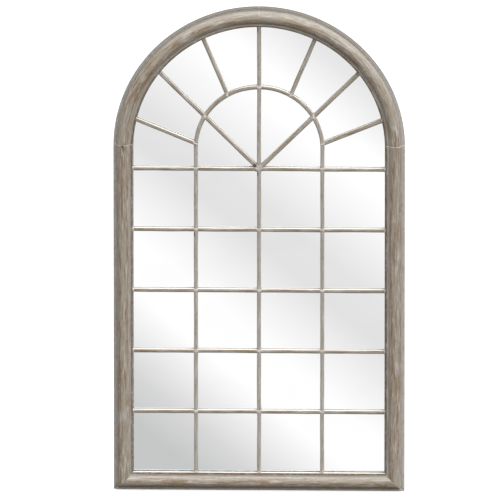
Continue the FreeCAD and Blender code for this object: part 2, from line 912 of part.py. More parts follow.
# Assembly ------------------------------------------------------------------------------------------------------

def build_frame(bars, hidden):
    """The five mouldings, each cut for the bars and hardware that it holds."""
    left_stile = publish(cut("stile_left", build_stile(), bars["stile"] + hidden), "stile_left")
    mirrored(left_stile, "stile_right")
    left_arch = publish(cut("arch_left", build_arch(), bars["arch"] + hidden), "arch_left")
    mirrored(left_arch, "arch_right")
    publish(cut("bottom_rail", build_rail(), bars["rail"] + hidden), "bottom_rail")


def build_mirror():
    bars = build_grille()
    arched_sheet("mirror_glass", glass_front, size("glass_thickness"))
    arched_sheet("backing_board", board_front, size("board_thickness"))
    build_setting_pads()
    points = build_glazier_points()
    dowels = build_dowels()

    plate_places = plate_screw_places()
    hanger_places = hanger_screw_places()
    plate_holes = copies("plate_screw_holes", screw_blank("plate_screw_hole", "screw"), plate_places)
    hanger_holes = copies("hanger_screw_holes", screw_blank("hanger_screw_hole", "hanger_screw"), hanger_places)
    publish(copies("plate_screws", countersunk_screw("plate_screw", "screw"), plate_places), "plate_screws")
    publish(copies("hanger_screws", countersunk_screw("hanger_screw", "hanger_screw"), hanger_places),
            "hanger_screws")

    build_plates(plate_holes)
    build_strap(hanger_holes)
    build_ring()
    build_bumpers()
    build_frame(bars, [points, dowels, plate_housings(), plate_holes, hanger_holes])


def check_document():
    """Stops where an object failed or a sub-part has no sound shape."""
    document.recompute()
    for thing in document.Objects:
        if "Invalid" in thing.State or "Error" in thing.State:
            raise RuntimeError(f"{thing.Label}: {thing.State}")
    for thing in subparts:
        shape = thing.Shape
        if shape.isNull() or not shape.isValid() or not shape.Solids:
            raise RuntimeError(f"{thing.Label} has no valid solid")


def export_subparts():
    os.makedirs("parts", exist_ok=True)
    for thing in subparts:
        thing.Shape.exportStep(f"parts/{thing.Label}.step")
        box = thing.Shape.optimalBoundingBox(True, False)
        print(f"{thing.Label:20s} solids {len(thing.Shape.Solids):2d}  volume {thing.Shape.Volume:12.1f}  "
              f"x {box.XMin:7.1f} {box.XMax:7.1f}  y {box.YMin:6.1f} {box.YMax:5.1f}  "
              f"z {box.ZMin:7.1f} {box.ZMax:7.1f}")


build_mirror()
check_document()
export_subparts()
print(len(subparts), "sub-parts")
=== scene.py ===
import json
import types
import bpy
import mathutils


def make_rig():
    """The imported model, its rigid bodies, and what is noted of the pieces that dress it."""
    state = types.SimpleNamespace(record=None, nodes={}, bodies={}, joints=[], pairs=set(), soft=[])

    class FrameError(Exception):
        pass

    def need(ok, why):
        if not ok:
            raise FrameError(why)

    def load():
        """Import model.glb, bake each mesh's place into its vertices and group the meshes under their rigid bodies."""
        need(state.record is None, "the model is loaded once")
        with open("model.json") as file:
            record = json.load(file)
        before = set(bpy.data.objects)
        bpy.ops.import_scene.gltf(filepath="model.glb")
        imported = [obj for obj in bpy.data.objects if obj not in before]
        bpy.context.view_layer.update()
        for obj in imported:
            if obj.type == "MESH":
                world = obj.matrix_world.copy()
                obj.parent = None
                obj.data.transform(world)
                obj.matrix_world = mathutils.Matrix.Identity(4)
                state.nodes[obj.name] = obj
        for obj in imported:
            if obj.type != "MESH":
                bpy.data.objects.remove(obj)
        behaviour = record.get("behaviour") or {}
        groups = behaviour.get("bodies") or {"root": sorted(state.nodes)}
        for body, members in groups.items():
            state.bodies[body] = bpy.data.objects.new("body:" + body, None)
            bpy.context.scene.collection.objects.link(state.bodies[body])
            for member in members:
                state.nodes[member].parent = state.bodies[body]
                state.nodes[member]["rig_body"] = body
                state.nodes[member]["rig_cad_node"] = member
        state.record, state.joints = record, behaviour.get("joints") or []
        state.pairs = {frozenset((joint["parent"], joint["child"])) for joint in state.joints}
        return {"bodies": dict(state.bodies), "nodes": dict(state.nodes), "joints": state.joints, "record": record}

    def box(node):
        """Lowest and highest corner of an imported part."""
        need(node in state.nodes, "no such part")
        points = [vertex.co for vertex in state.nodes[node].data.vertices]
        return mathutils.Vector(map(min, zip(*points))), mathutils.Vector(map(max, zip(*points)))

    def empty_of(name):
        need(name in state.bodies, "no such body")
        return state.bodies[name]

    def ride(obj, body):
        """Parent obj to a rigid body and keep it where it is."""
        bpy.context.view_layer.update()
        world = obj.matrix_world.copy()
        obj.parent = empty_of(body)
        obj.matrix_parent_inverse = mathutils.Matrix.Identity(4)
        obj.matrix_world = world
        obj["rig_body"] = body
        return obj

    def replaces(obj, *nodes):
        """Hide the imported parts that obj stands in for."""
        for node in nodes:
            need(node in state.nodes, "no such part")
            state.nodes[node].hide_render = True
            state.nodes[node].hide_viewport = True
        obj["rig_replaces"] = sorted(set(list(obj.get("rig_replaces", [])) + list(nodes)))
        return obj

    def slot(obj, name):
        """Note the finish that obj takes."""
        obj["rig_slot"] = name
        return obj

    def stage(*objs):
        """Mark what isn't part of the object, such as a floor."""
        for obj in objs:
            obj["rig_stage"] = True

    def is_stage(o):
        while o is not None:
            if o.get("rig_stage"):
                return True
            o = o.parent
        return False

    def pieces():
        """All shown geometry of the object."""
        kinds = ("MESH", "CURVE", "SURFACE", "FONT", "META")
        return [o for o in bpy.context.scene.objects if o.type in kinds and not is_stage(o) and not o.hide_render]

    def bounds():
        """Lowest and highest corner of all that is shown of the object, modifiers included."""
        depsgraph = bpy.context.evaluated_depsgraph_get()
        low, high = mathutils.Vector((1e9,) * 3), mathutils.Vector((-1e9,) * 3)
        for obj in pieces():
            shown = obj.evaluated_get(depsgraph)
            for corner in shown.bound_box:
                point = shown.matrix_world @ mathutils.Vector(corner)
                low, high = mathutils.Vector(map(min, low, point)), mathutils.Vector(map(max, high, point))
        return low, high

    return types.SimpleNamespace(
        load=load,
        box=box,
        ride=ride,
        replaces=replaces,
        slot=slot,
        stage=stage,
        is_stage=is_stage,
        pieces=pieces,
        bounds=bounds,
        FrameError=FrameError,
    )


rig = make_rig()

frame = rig.load()

import json
import math

import bmesh
import bpy
from bpy.props import FloatProperty, FloatVectorProperty, IntProperty, PointerProperty, StringProperty
from mathutils import Vector, noise

bl_info = {
    "name": "Arched window mirror",
    "version": (1, 0, 0),
    "blender": (4, 5, 0),
    "location": "3D View > Sidebar > Window Mirror",
    "description": "Builds the limed mouldings, glazing bars, glass and stage of an arched window mirror",
    "category": "Add Mesh",
}

MM = 0.001
CAD_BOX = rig.bounds()
BODY = "mirror"
WOOD_SLOT = "limewashed_wood"
GLASS_SLOT = "silvered_glass"

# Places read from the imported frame, in metres. Depth is measured forwards from the frame's flat back.
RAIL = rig.box("bottom_rail")
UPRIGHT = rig.box("bar_upright_right")
CROSS_BARS = [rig.box(f"bar_cross_{number}") for number in range(1, 6)]
HALF_WIDTH = RAIL[1].x
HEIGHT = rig.box("arch_left")[1].z
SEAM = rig.box("stile_left")[1].z
SPRING = HEIGHT - HALF_WIDTH                # height of the arch's centre
MOULDING = RAIL[1].z                        # width of the moulding's face
INNER = HALF_WIDTH - MOULDING
COLUMN = (UPRIGHT[0].x + UPRIGHT[1].x) / 2
COLUMNS = (-COLUMN, 0.0, COLUMN)
RING = COLUMN                               # radius of the half ring's middle line
BAR_FOOT = UPRIGHT[0].z
BAR_HALF = (UPRIGHT[1].x - UPRIGHT[0].x) / 2
BAR_BACK = -CROSS_BARS[0][1].y
BAR_FRONT = -CROSS_BARS[0][0].y
ROWS = [(low.z + high.z) / 2 for low, high in CROSS_BARS]
HUB = ROWS[-1]                              # height at which the rays meet
HOUSED = CROSS_BARS[0][1].x                 # how far from the middle the bars end, inside the moulding

# The moulding's section, as insets from the outer edge and depths, in metres.
REBATE_WALL = 50 * MM
REBATE_DEPTH = 12 * MM
INNER_LIP = 28 * MM
INNER_ROUNDING = 3 * MM
QUIRK = 47 * MM
QUIRK_DEPTH = 31 * MM
CROWN = 29 * MM
CROWN_DEPTH = 40 * MM
OUTER_LIP = 10 * MM
FOOT_DEPTH = 21 * MM
LIP_DEPTH = 16 * MM
LIP_ROUNDING = 2.5 * MM

SHARP_EDGE = math.radians(38)   # faces that meet at more than this show an edge
# The dark rim round the silver is painted shade, for the shaded gap beside the wood.
RIM_SEEN = 2.2 * MM             # how far the dark rim of the silver shows inside the wood
GLASS_DEPTH_SEEN = 9.4 * MM     # through 4 mm of glass the silver looks 2.6 mm behind the front

# Tones of what the settings don't list.
PINE_RING = "#8f6d47"
# The paler tone of the painted-shade rim.
RIM_SHADE_PALE = "#8d9699"
ZINC_DULL, ZINC_BRIGHT = "#9fa3a6", "#cfd2d3"
PASSIVATE_DEEP, PASSIVATE_PALE = "#a98f4e", "#d9c184"
FIBRE_DARK, FIBRE_PALE, BOARD_CLOUD = "#5f4330", "#8c6a4c", "#6b4e38"
BEECH_FLECK, BEECH_PALE = "#a97b56", "#c99e76"
RUBBER_DEEP, RUBBER_DUST = "#161617", "#2e2e2f"
WHITE = "#ffffff"


# Sizes and colours that a user would change -----------------------------------

def linear(value):
    """An sRGB hex colour as linear red, green and blue."""
    parts = [int(value[i:i + 2], 16) / 255 for i in (1, 3, 5)]
    return tuple(p / 12.92 if p <= 0.04045 else ((p + 0.055) / 1.055) ** 2.4 for p in parts)


def colour_property(name, description, value):
    return FloatVectorProperty(
        name=name, description=description, default=linear(value), subtype="COLOR", size=3, min=0, max=1)


def length_property(name, description, value, **limits):
    return FloatProperty(name=name, description=description, default=value, unit="LENGTH", **limits)


def angle_property(name, description, degrees):
    return FloatProperty(
        name=name, description=description, default=math.radians(degrees), subtype="ANGLE")


def strength_property(name, description, value):
    return FloatProperty(name=name, description=description, default=value, min=0)


class WoodSettings(bpy.types.PropertyGroup):
    """The limed wood of the mouldings and glazing bars."""

    grain_relief: length_property(
        "Grain relief", "How deep the brushed grain is sunk", 0.35 * MM, min=0, soft_max=2 * MM)
    waviness: length_property(
        "Waviness", "How far a hand-planed face wanders", 0.6 * MM, min=0, soft_max=3 * MM)
    bar_waviness: length_property(
        "Bar waviness", "How far a glazing bar wanders from a straight line", 0.7 * MM, min=0,
        soft_max=3 * MM)
    station_spacing: length_property(
        "Station spacing", "Distance between the rings of points along a moulding", 6 * MM, min=1 * MM,
        soft_max=30 * MM)
    joint_gap: length_property(
        "Joint groove", "Depth of the worn groove at a joint", 0.8 * MM, min=0, soft_max=3 * MM)
    stain: colour_property("Stain", "Brown stain under the wash", "#79654f")
    wash: colour_property("Wash", "Thin lime wash over the stain", "#928a7e")
    # This pale colour also gives the painted light on faces turned to the lamps, beside the edge wear.
    chalk: colour_property("Chalk", "Where the wash lies thick", "#b2b1ac")
    # This dark brown also gives the painted shade in the quirks and on faces turned from the lamps.
    grime: colour_property("Grime", "Dark wax left in the quirks", "#604d38")
    olive: colour_property("Olive cast", "Greenish cast of the wash", "#87816e")
    mauve: colour_property("Mauve cast", "Pinkish cast of the wash", "#918580")
    # This dark colour also gives painted shade along the top of the arch and painted shadows under the bar crossings.
    edge_stain: colour_property("Edge stain", "Dark stain of the outer side and of chips", "#3d3227")
    # This pale colour also gives painted light on bar sides and inner sides turned to the lamps.
    filler: colour_property("Filler", "Pale filler in the joints", "#d9d8d4")
    putty: colour_property("Putty", "Putty wiped over the crossings", "#bdbbb5")
    bare: colour_property("Bare pine", "Unfinished back of the mouldings", "#b08f66")


class GlassSettings(bpy.types.PropertyGroup):
    """The silvered sheet."""

    silver: colour_property("Silver", "Silver seen through clear float glass", "#fafafa")
    haze: colour_property("Haze", "Cast where the glass was wiped", "#eceeee")
    # Painted shade: the dark rim round the silver beside the wood.
    blackened: colour_property("Blackened rim", "Rim of the silver, seen beside the wood", "#566065")


class StageSettings(bpy.types.PropertyGroup):
    """Floor, light and camera."""

    azimuth: angle_property("Camera azimuth", "Angle of the camera round the mirror", 1.3)
    elevation: angle_property("Camera elevation", "Angle of the camera above the horizon", 16.15)
    view_width: length_property("View width", "Width of the view at the mirror", 1.4921)
    focal_length: FloatProperty(
        name="Focal length", description="Length of the lens, long so that the uprights stay parallel, in mm",
        default=1600, min=50)
    aim_x: length_property("Aim, across", "Point on the mirror at the view's centre", -0.0274)
    aim_z: length_property("Aim, up", "Point on the mirror at the view's centre", 0.7447)
    top_light: strength_property("Top light", "Strength of the light from above", 1.9)
    side_light: strength_property("Side light", "Strength of the light from the right", 1.5)
    back_light: strength_property("Back light", "Strength of the light behind", 0.8)
    sky_light: strength_property("Sky light", "Strength of the even light from above", 1.35)
    ground_light: strength_property("Ground light", "Strength of the even light from below", 0.14)


class MirrorSettings(bpy.types.PropertyGroup):
    """Everything that can be set on the arched window mirror."""

    wood: PointerProperty(type=WoodSettings)
    glass: PointerProperty(type=GlassSettings)
    stage: PointerProperty(type=StageSettings)
    seed: IntProperty(name="Seed", description="Changes every uneven place at once", default=7, min=0)
    size_file: StringProperty(
        name="Size file", description="Where the two boxes are written", default="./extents.json",
        subtype="FILE_PATH")


# Material tools ---------------------------------------------------------------

MIX_FACTOR, MIX_A, MIX_B, MIX_RESULT = 0, 6, 7, 2       # sockets of the mix node, when it mixes colours


def add_node(tree, kind, inputs=None, **settings):
    """Adds a node with its settings; an input is given a value, or the socket that feeds it."""
    node = tree.nodes.new(kind)
    for name, value in settings.items():
        setattr(node, name, value)
    for socket, value in (inputs or {}).items():
        if isinstance(value, bpy.types.NodeSocket):
            tree.links.new(value, node.inputs[socket])
        else:
            node.inputs[socket].default_value = value
    return node


def rgba(colour):
    return (*colour, 1.0)


def tone(value):
    """An sRGB hex colour the way a colour socket takes it."""
    return rgba(linear(value))


def spread(along_mm, across_mm, through_mm=None):
    """The mapping scale at which a noise of scale 1 has features of these sizes."""
    return (1000 / along_mm, 1000 / across_mm, 1000 / (through_mm or across_mm))


def new_material(name):
    """An empty node material and its tree."""
    material = bpy.data.materials.new(name)
    material.use_nodes = True
    material.node_tree.nodes.clear()
    return material, material.node_tree


def show(tree, shader, output="ShaderNodeOutputMaterial"):
    """Joins a shader to the output of a material or a world."""
    tree.links.new(shader.outputs[0], tree.nodes.new(output).inputs["Surface"])


def principled(tree, inputs):
    show(tree, add_node(tree, "ShaderNodeBsdfPrincipled", inputs))


def grain_place(tree):
    """Where a point lies along the grain and round the section of a swept piece."""
    return add_node(tree, "ShaderNodeUVMap", uv_map="grain").outputs["UV"]


def object_place(tree):
    return add_node(tree, "ShaderNodeTexCoord").outputs["Object"]


def pattern(tree, scale, detail, place=None, roughness=0.5, distortion=0.0):
    """A noise of that mapping scale, in the object's own space where no place is given."""
    mapped = add_node(tree, "ShaderNodeMapping", {"Vector": place or object_place(tree), "Scale": scale})
    return add_node(tree, "ShaderNodeTexNoise", {
        "Vector": mapped.outputs["Vector"], "Scale": 1.0, "Detail": detail, "Roughness": roughness,
        "Distortion": distortion}).outputs["Fac"]


def blend(tree, value, low=0.0, high=1.0, to_low=0.0, to_high=1.0, kind="LINEAR"):
    """What lies between low and high, drawn out over a new range."""
    return add_node(tree, "ShaderNodeMapRange", {
        "Value": value, "From Min": low, "From Max": high, "To Min": to_low, "To Max": to_high},
        interpolation_type=kind).outputs["Result"]


def calculate(tree, operation, one, two):
    return add_node(tree, "ShaderNodeMath", {0: one, 1: two}, operation=operation).outputs[0]


def mix(tree, amount, below, above):
    """One colour laid over another, by that amount."""
    return add_node(tree, "ShaderNodeMix", {MIX_FACTOR: amount, MIX_A: below, MIX_B: above},
                    data_type="RGBA").outputs[MIX_RESULT]


def bump(tree, height, strength, distance):
    return add_node(tree, "ShaderNodeBump", {
        "Height": height, "Strength": strength, "Distance": distance}).outputs["Normal"]


# Materials --------------------------------------------------------------------

def limed_pine(wood):
    """Pine with a brown stain, brushed with lime wash along the grain and worn back.

    The eye gets a dry, matt greige: brown stain shows in long streaks where the wash was worn thin, and pale wash lies
    where the brush left it thick. Painted shade darkens the quirks and the faces turned from the lamps, painted light
    pales the faces turned to them, and the edges are worn pale.
    """
    material, tree = new_material("limed_pine_brushed_and_rubbed")
    place = grain_place(tree)
    marks = add_node(tree, "ShaderNodeVertexColor", layer_name="finish")
    parts = add_node(tree, "ShaderNodeSeparateColor", {"Color": marks.outputs["Color"]}).outputs
    # The four marks hold painted shade with wear, painted light with edge wear, filler with painted light, and stain
    # with painted shade.
    shade_and_wear, rubbed_and_lit, filled_and_lit, stained_and_shaded = parts["Red"], parts["Green"], parts["Blue"], marks.outputs["Alpha"]

    # Growth rings of pine are 1 to 3 mm apart. They are drawn 5 mm apart, because finer ones don't show here.
    noises = {
        name: pattern(tree, spread(along, across), detail, place, roughness=0.6, distortion=0.15)
        for name, along, across, detail in (
            ("grain", 80, 5, 4), ("patch", 150, 14, 4), ("brush", 52, 6, 4),
            ("cast", 24, 9, 2), ("speck", 4.5, 3.5, 2), ("mottle", 13, 8, 3))}

    # From the wood outwards; each layer shows where its noise lies between the two limits.
    thickness = calculate(tree, "ADD", noises["patch"], noises["grain"])
    cover = blend(tree, thickness, 0.84, 1.12, kind="SMOOTHSTEP")
    colour = mix(tree, cover, rgba(wood.stain), rgba(wood.wash))
    for layer, name, low, high, amount in (
            (wood.olive, "cast", 0.52, 0.66, 0.45),
            (wood.mauve, "cast", 0.47, 0.34, 0.45),
            (wood.chalk, "brush", 0.50, 0.66, 0.60),
            (wood.grime, "brush", 0.44, 0.30, 0.30),
            # Painted shade in the quirks and on faces turned from the lamps, and worn patches on the bar fronts.
            (wood.grime, "mottle", 0.25, 0.60, shade_and_wear),
            # Edge wear, and painted light on faces turned to the lamps.
            (wood.chalk, "mottle", 0.12, 0.58, rubbed_and_lit),
            # The real dark stain of the outer side and of chips, and painted shade along the top of the arch and
            # painted shadows under bar crossings.
            (wood.edge_stain, None, None, None, stained_and_shaded),
            (wood.grime, "speck", 0.62, 0.74, 0.5),
            (wood.filler, "speck", 0.34, 0.24, 0.4),
            # Joint filler and putty at the crossings, and painted light on faces turned to the lamps.
            (wood.filler, None, None, None, filled_and_lit)):
        if name:
            amount = calculate(
                tree, "MULTIPLY", blend(tree, noises[name], low, high, kind="SMOOTHSTEP"), amount)
        colour = mix(tree, amount, colour, rgba(layer))

    ridges = add_node(tree, "ShaderNodeMix", {0: 0.35, 2: noises["grain"], 3: noises["speck"]}).outputs[0]
    principled(tree, {
        "Base Color": colour, "Roughness": blend(tree, cover, to_low=0.62, to_high=0.82), "IOR": 1.45,
        "Specular IOR Level": 0.25, "Normal": bump(tree, ridges, 0.2, 0.6 * MM)})
    return material


def bare_pine(wood):
    """Pine straight from the moulding machine: pale tan with darker growth rings, dry and matt."""
    material, tree = new_material("bare_pine_machined")
    rings = pattern(tree, spread(160, 3), 5, grain_place(tree), roughness=0.55)
    colour = mix(tree, blend(tree, rings, 0.40, 0.62), tone(PINE_RING), rgba(wood.bare))
    principled(tree, {"Base Color": colour, "Roughness": 0.78, "Normal": bump(tree, rings, 0.3, 0.4 * MM)})
    return material


def silvered_float_glass(glass):
    """Float glass, silvered behind: a flat, clear reflection, with a trace of haze where it was wiped."""
    material, tree = new_material("float_glass_silvered")
    haze = pattern(tree, spread(260, 200, 90), 3)
    colour = mix(tree, blend(tree, haze, 0.5, 0.8, to_high=0.25), rgba(glass.silver), rgba(glass.haze))
    principled(tree, {
        "Base Color": colour, "Metallic": 1.0, "Roughness": blend(tree, haze, 0.45, 0.75, to_high=0.012)})
    return material


def painted_shade_rim(glass):
    """A dark strip round the silver, beside the wood: painted shade for the shaded gap between wood and glass and its
    reflection, a thin grey-green line.
    """
    material, tree = new_material("silver_rim_blackened")
    rim_mottle = pattern(tree, spread(14, 14), 3)
    colour = mix(tree, blend(tree, rim_mottle, 0.40, 0.70), rgba(glass.blackened), tone(RIM_SHADE_PALE))
    principled(tree, {"Base Color": colour, "Roughness": 0.25})
    return material


def lime_putty(wood):
    """Lime putty pressed into a joint and wiped: chalky, pale, slightly lumpy."""
    material, tree = new_material("lime_putty_wiped")
    lumps = pattern(tree, spread(5, 5), 3)
    colour = mix(tree, blend(tree, lumps, 0.35, 0.6), rgba(wood.wash), rgba(wood.putty))
    principled(tree, {"Base Color": colour, "Roughness": 0.85, "Normal": bump(tree, lumps, 0.4, 0.5 * MM)})
    return material


def zinc_plate():
    """Steel, stamped and zinc plated: cool pale metal with a faint cloudy passivate and handling scuffs."""
    material, tree = new_material("steel_stamped_zinc_plated")
    clouds = pattern(tree, spread(14, 14), 4)
    scuffs = pattern(tree, spread(1.2, 9, 9), 2)
    principled(tree, {
        "Base Color": mix(tree, clouds, tone(ZINC_DULL), tone(ZINC_BRIGHT)), "Metallic": 1.0,
        "Roughness": blend(tree, scuffs, 0.35, 0.65, 0.26, 0.48),
        "Normal": bump(tree, scuffs, 0.15, 0.1 * MM)})
    return material


def yellow_passivate():
    """Steel screws, zinc plated and yellow passivated: brassy metal that drifts to green and pink."""
    material, tree = new_material("steel_yellow_passivated")
    drift = pattern(tree, spread(3, 3), 3)
    principled(tree, {
        "Base Color": mix(tree, drift, tone(PASSIVATE_DEEP), tone(PASSIVATE_PALE)), "Metallic": 1.0,
        "Roughness": blend(tree, drift, to_low=0.25, to_high=0.45)})
    return material


def pressed_hardboard():
    """Wood fibre pressed smooth: dark tan with darker and paler fibres, slightly polished by the press."""
    material, tree = new_material("hardboard_pressed")
    # Fibres are under 1 mm. They are drawn 2.5 mm long, because finer ones don't show here.
    fibres = pattern(tree, spread(2.5, 2.5), 5, roughness=0.7)
    clouds = pattern(tree, spread(120, 120), 3)
    colour = mix(tree, blend(tree, fibres, 0.35, 0.65), tone(FIBRE_DARK), tone(FIBRE_PALE))
    colour = mix(tree, blend(tree, clouds, to_high=0.5), colour, tone(BOARD_CLOUD))
    principled(tree, {"Base Color": colour, "Roughness": 0.5, "Normal": bump(tree, fibres, 0.2, 0.2 * MM)})
    return material


def turned_beech():
    """Beech dowel: pinkish tan with short dark flecks along the grain."""
    material, tree = new_material("beech_turned")
    flecks = pattern(tree, spread(1.5, 1.5, 6), 3)
    colour = mix(tree, blend(tree, flecks, 0.4, 0.6), tone(BEECH_FLECK), tone(BEECH_PALE))
    principled(tree, {"Base Color": colour, "Roughness": 0.6})
    return material


def moulded_rubber():
    """Rubber, moulded: near black, matt, with a fine pebble from the mould and a little dust."""
    material, tree = new_material("rubber_moulded")
    pebble = pattern(tree, spread(0.8, 0.8), 2)
    colour = mix(tree, pebble, tone(RUBBER_DEEP), tone(RUBBER_DUST))
    principled(tree, {"Base Color": colour, "Roughness": 0.75, "Normal": bump(tree, pebble, 0.3, 0.2 * MM)})
    return material


# Shape tools ------------------------------------------------------------------

def line_run(start, end, steps, zone):
    """Points from start up to, but not on, the end."""
    return [(start[0] + (end[0] - start[0]) * i / steps, start[1] + (end[1] - start[1]) * i / steps, zone)
            for i in range(steps)]


def arc_run(start, end, centre, steps, zone):
    """Points on the shorter arc from start up to, but not on, the end."""
    first = math.atan2(start[1] - centre[1], start[0] - centre[0])
    last = math.atan2(end[1] - centre[1], end[0] - centre[0])
    turn = (last - first + math.pi) % (2 * math.pi) - math.pi
    radius = math.hypot(start[0] - centre[0], start[1] - centre[1])
    return [(centre[0] + radius * math.cos(first + turn * i / steps),
             centre[1] + radius * math.sin(first + turn * i / steps), zone) for i in range(steps)]


def outline_of(corners):
    """The points of a closed section; each corner says how, and about which centre, its side runs on."""
    points = []
    for (start, steps, zone, centre), following in zip(corners, corners[1:] + corners[:1]):
        end = following[0]
        points += arc_run(start, end, centre, steps, zone) if centre else line_run(start, end, steps, zone)
    return points


def arc_radius(run, rise):
    """The radius of an arc that is level at its top and falls by the rise over the run."""
    return (run ** 2 + rise ** 2) / (2 * rise)


def moulding_outline():
    """The moulding's section as (inset, depth, zone) points."""
    inner_radius = arc_radius(QUIRK - CROWN, CROWN_DEPTH - QUIRK_DEPTH)
    outer_radius = arc_radius(CROWN - OUTER_LIP, CROWN_DEPTH - FOOT_DEPTH)
    inner_side = INNER_LIP - INNER_ROUNDING
    outer_side = LIP_DEPTH - LIP_ROUNDING
    return outline_of((
        ((0, 0), 8, "back", None),
        ((REBATE_WALL, 0), 2, "back", None),
        ((REBATE_WALL, REBATE_DEPTH), 2, "back", None),
        ((MOULDING, REBATE_DEPTH), 4, "inner_side", None),
        ((MOULDING, inner_side), 4, "inner_lip", (MOULDING - INNER_ROUNDING, inner_side)),
        ((MOULDING - INNER_ROUNDING, INNER_LIP), 4, "inner_lip", None),
        ((QUIRK, INNER_LIP), 2, "round", None),
        ((QUIRK, QUIRK_DEPTH), 11, "round", (CROWN, CROWN_DEPTH - inner_radius)),
        ((CROWN, CROWN_DEPTH), 15, "round", (CROWN, CROWN_DEPTH - outer_radius)),
        ((OUTER_LIP, FOOT_DEPTH), 3, "round", None),
        ((OUTER_LIP, LIP_DEPTH), 4, "outer_lip", None),
        ((LIP_ROUNDING, LIP_DEPTH), 4, "outer_lip", (LIP_ROUNDING, outer_side)),
        ((0, outer_side), 4, "outer_side", None)))


def bar_outline():
    """A glazing bar's section as (offset, depth, zone) points."""
    rise = 5 * MM
    shoulder = BAR_FRONT - rise
    centre = (0, BAR_FRONT - arc_radius(BAR_HALF, rise))
    return outline_of((
        ((-BAR_HALF, BAR_BACK), 2, "bar_back", None),
        ((BAR_HALF, BAR_BACK), 3, "bar_side", None),
        ((BAR_HALF, shoulder), 6, "bar_front", centre),
        ((0, BAR_FRONT), 6, "bar_front", centre),
        ((-BAR_HALF, shoulder), 3, "bar_side", None)))


def inward(outline):
    """For each point of an outline, the unit vector that points into the wood."""
    area = sum(here[0] * following[1] - following[0] * here[1]
               for here, following in zip(outline, outline[1:] + outline[:1]))
    side = 1 if area > 0 else -1
    result = []
    for before, after in zip(outline[-1:] + outline[:-1], outline[1:] + outline[:1]):
        run = Vector((after[0] - before[0], after[1] - before[1]))
        run.normalize()
        result.append((-run.y * side, run.x * side))
    return result


def perimeter(outline):
    """How far round the outline each point lies, from the first."""
    lengths = [0.0]
    for here, following in zip(outline, outline[1:] + outline[:1]):
        lengths.append(lengths[-1] + math.hypot(following[0] - here[0], following[1] - here[1]))
    return lengths


def stations(length, spacing):
    """Distances along a piece, close together at its ends, where the joints are worn."""
    ends = [0, 0.5 * MM, 1.4 * MM, 2.6 * MM, 4.5 * MM]
    count = max(2, round((length - 2 * ends[-1]) / spacing))
    middle = [ends[-1] + (length - 2 * ends[-1]) * i / count for i in range(1, count)]
    return ends + middle + [length - e for e in reversed(ends)]


def near(value, place, fade):
    """1 at the place, falling to 0 where the value is that far from it."""
    share = max(0.0, 1 - abs(value - place) / fade)
    return share * share * (3 - 2 * share)


def half_up(value):
    """A value from -1 to 1 as one from 0 to 1."""
    return 0.5 + 0.5 * value


def add_object(name, data):
    added = bpy.data.objects.new(name, data)
    bpy.context.scene.collection.objects.link(added)
    return added


def finish_object(name, mesh, materials, slot, nodes=()):
    """Links a mesh as a piece of the mirror, rides it on its body and hides the nodes that it stands for."""
    for material in materials:
        mesh.materials.append(material)
    mesh.shade_smooth()
    mesh.set_sharp_from_angle(angle=SHARP_EDGE)
    piece = add_object(name, mesh)
    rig.ride(piece, BODY)
    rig.slot(piece, slot)
    if nodes:
        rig.replaces(piece, *nodes)
    return piece


def finish_mesh(work, name):
    """Turns a work mesh into a real one, with its faces outwards."""
    bmesh.ops.recalc_face_normals(work, faces=work.faces)
    mesh = bpy.data.meshes.new(name)
    work.to_mesh(mesh)
    work.free()
    return mesh


def band(work, one, two):
    """A closed band of faces between two loops of points."""
    count = len(one)
    return [work.faces.new((one[i], two[i], two[(i + 1) % count], one[(i + 1) % count]))
            for i in range(count)]


def sweep(name, outline, distances, place, mark, seed, raw_zones=()):
    """A closed mesh of one section carried along a piece.

    place(i, k) gives the world point of outline point i at station k after its relief; mark gives its finish.
    """
    count = len(outline)
    last = len(distances) - 1
    points = [(i, k) for k in range(last + 1) for i in range(count)]
    cells = [(i, k) for k in range(last) for i in range(count)]
    faces = []
    for i, k in cells:
        j = (i + 1) % count
        faces.append((k * count + i, (k + 1) * count + i, (k + 1) * count + j, k * count + j))
    faces.append(tuple(range(count)))
    faces.append(tuple(last * count + i for i in reversed(range(count))))
    mesh = bpy.data.meshes.new(name)
    mesh.from_pydata([place(i, k) for i, k in points], [], faces)

    rounds = perimeter(outline)
    corners = [(distances[station], rounds[around]) for i, k in cells
               for station, around in ((k, i), (k + 1, i), (k + 1, i + 1), (k, i + 1))]
    corners += [point[:2] for point in outline] * 2
    shift = seed * 1.37             # so that no two pieces show the same grain
    uv = mesh.uv_layers.new(name="grain")
    for number, (along, around) in enumerate(corners):
        uv.data[number].uv = (along + shift, around + shift)
    finish = mesh.color_attributes.new("finish", "FLOAT_COLOR", "POINT")
    for number, (i, k) in enumerate(points):
        finish.data[number].color = mark(i, k)
    for number, (i, k) in enumerate(cells):
        if outline[i][2] in raw_zones:
            mesh.polygons[number].material_index = 1
    work = bmesh.new()
    work.from_mesh(mesh)
    bmesh.ops.recalc_face_normals(work, faces=work.faces)
    work.to_mesh(mesh)
    work.free()
    return mesh


# Mouldings --------------------------------------------------------------------

# Painted light and shade are keyed to this direction, from above and a little from the right like the lamps: how far a
# face turns towards it or away sets how much paler or darker it is painted. The bars take a direction a little less to
# the right.
PAINTED_LIGHT_FROM = Vector((0.35, 0.0, 0.94))
BAR_PAINTED_LIGHT_FROM = Vector((0.25, 0.0, 0.97))
UP = Vector((0, 0, 1))
OUTER_SIDE = (1, 0)         # the way into the wood from its outer side


def facing_toward(point_at, first, depth, along, into, spray=PAINTED_LIGHT_FROM):
    """How far a face turns towards a direction, such as that of the painted light, from -1 to 1; first is its inset or
    offset.
    """
    step = 1 * MM
    out = point_at(first - into[0] * step, depth - into[1] * step, along) - point_at(first, depth, along)
    return out.normalized().dot(spray)


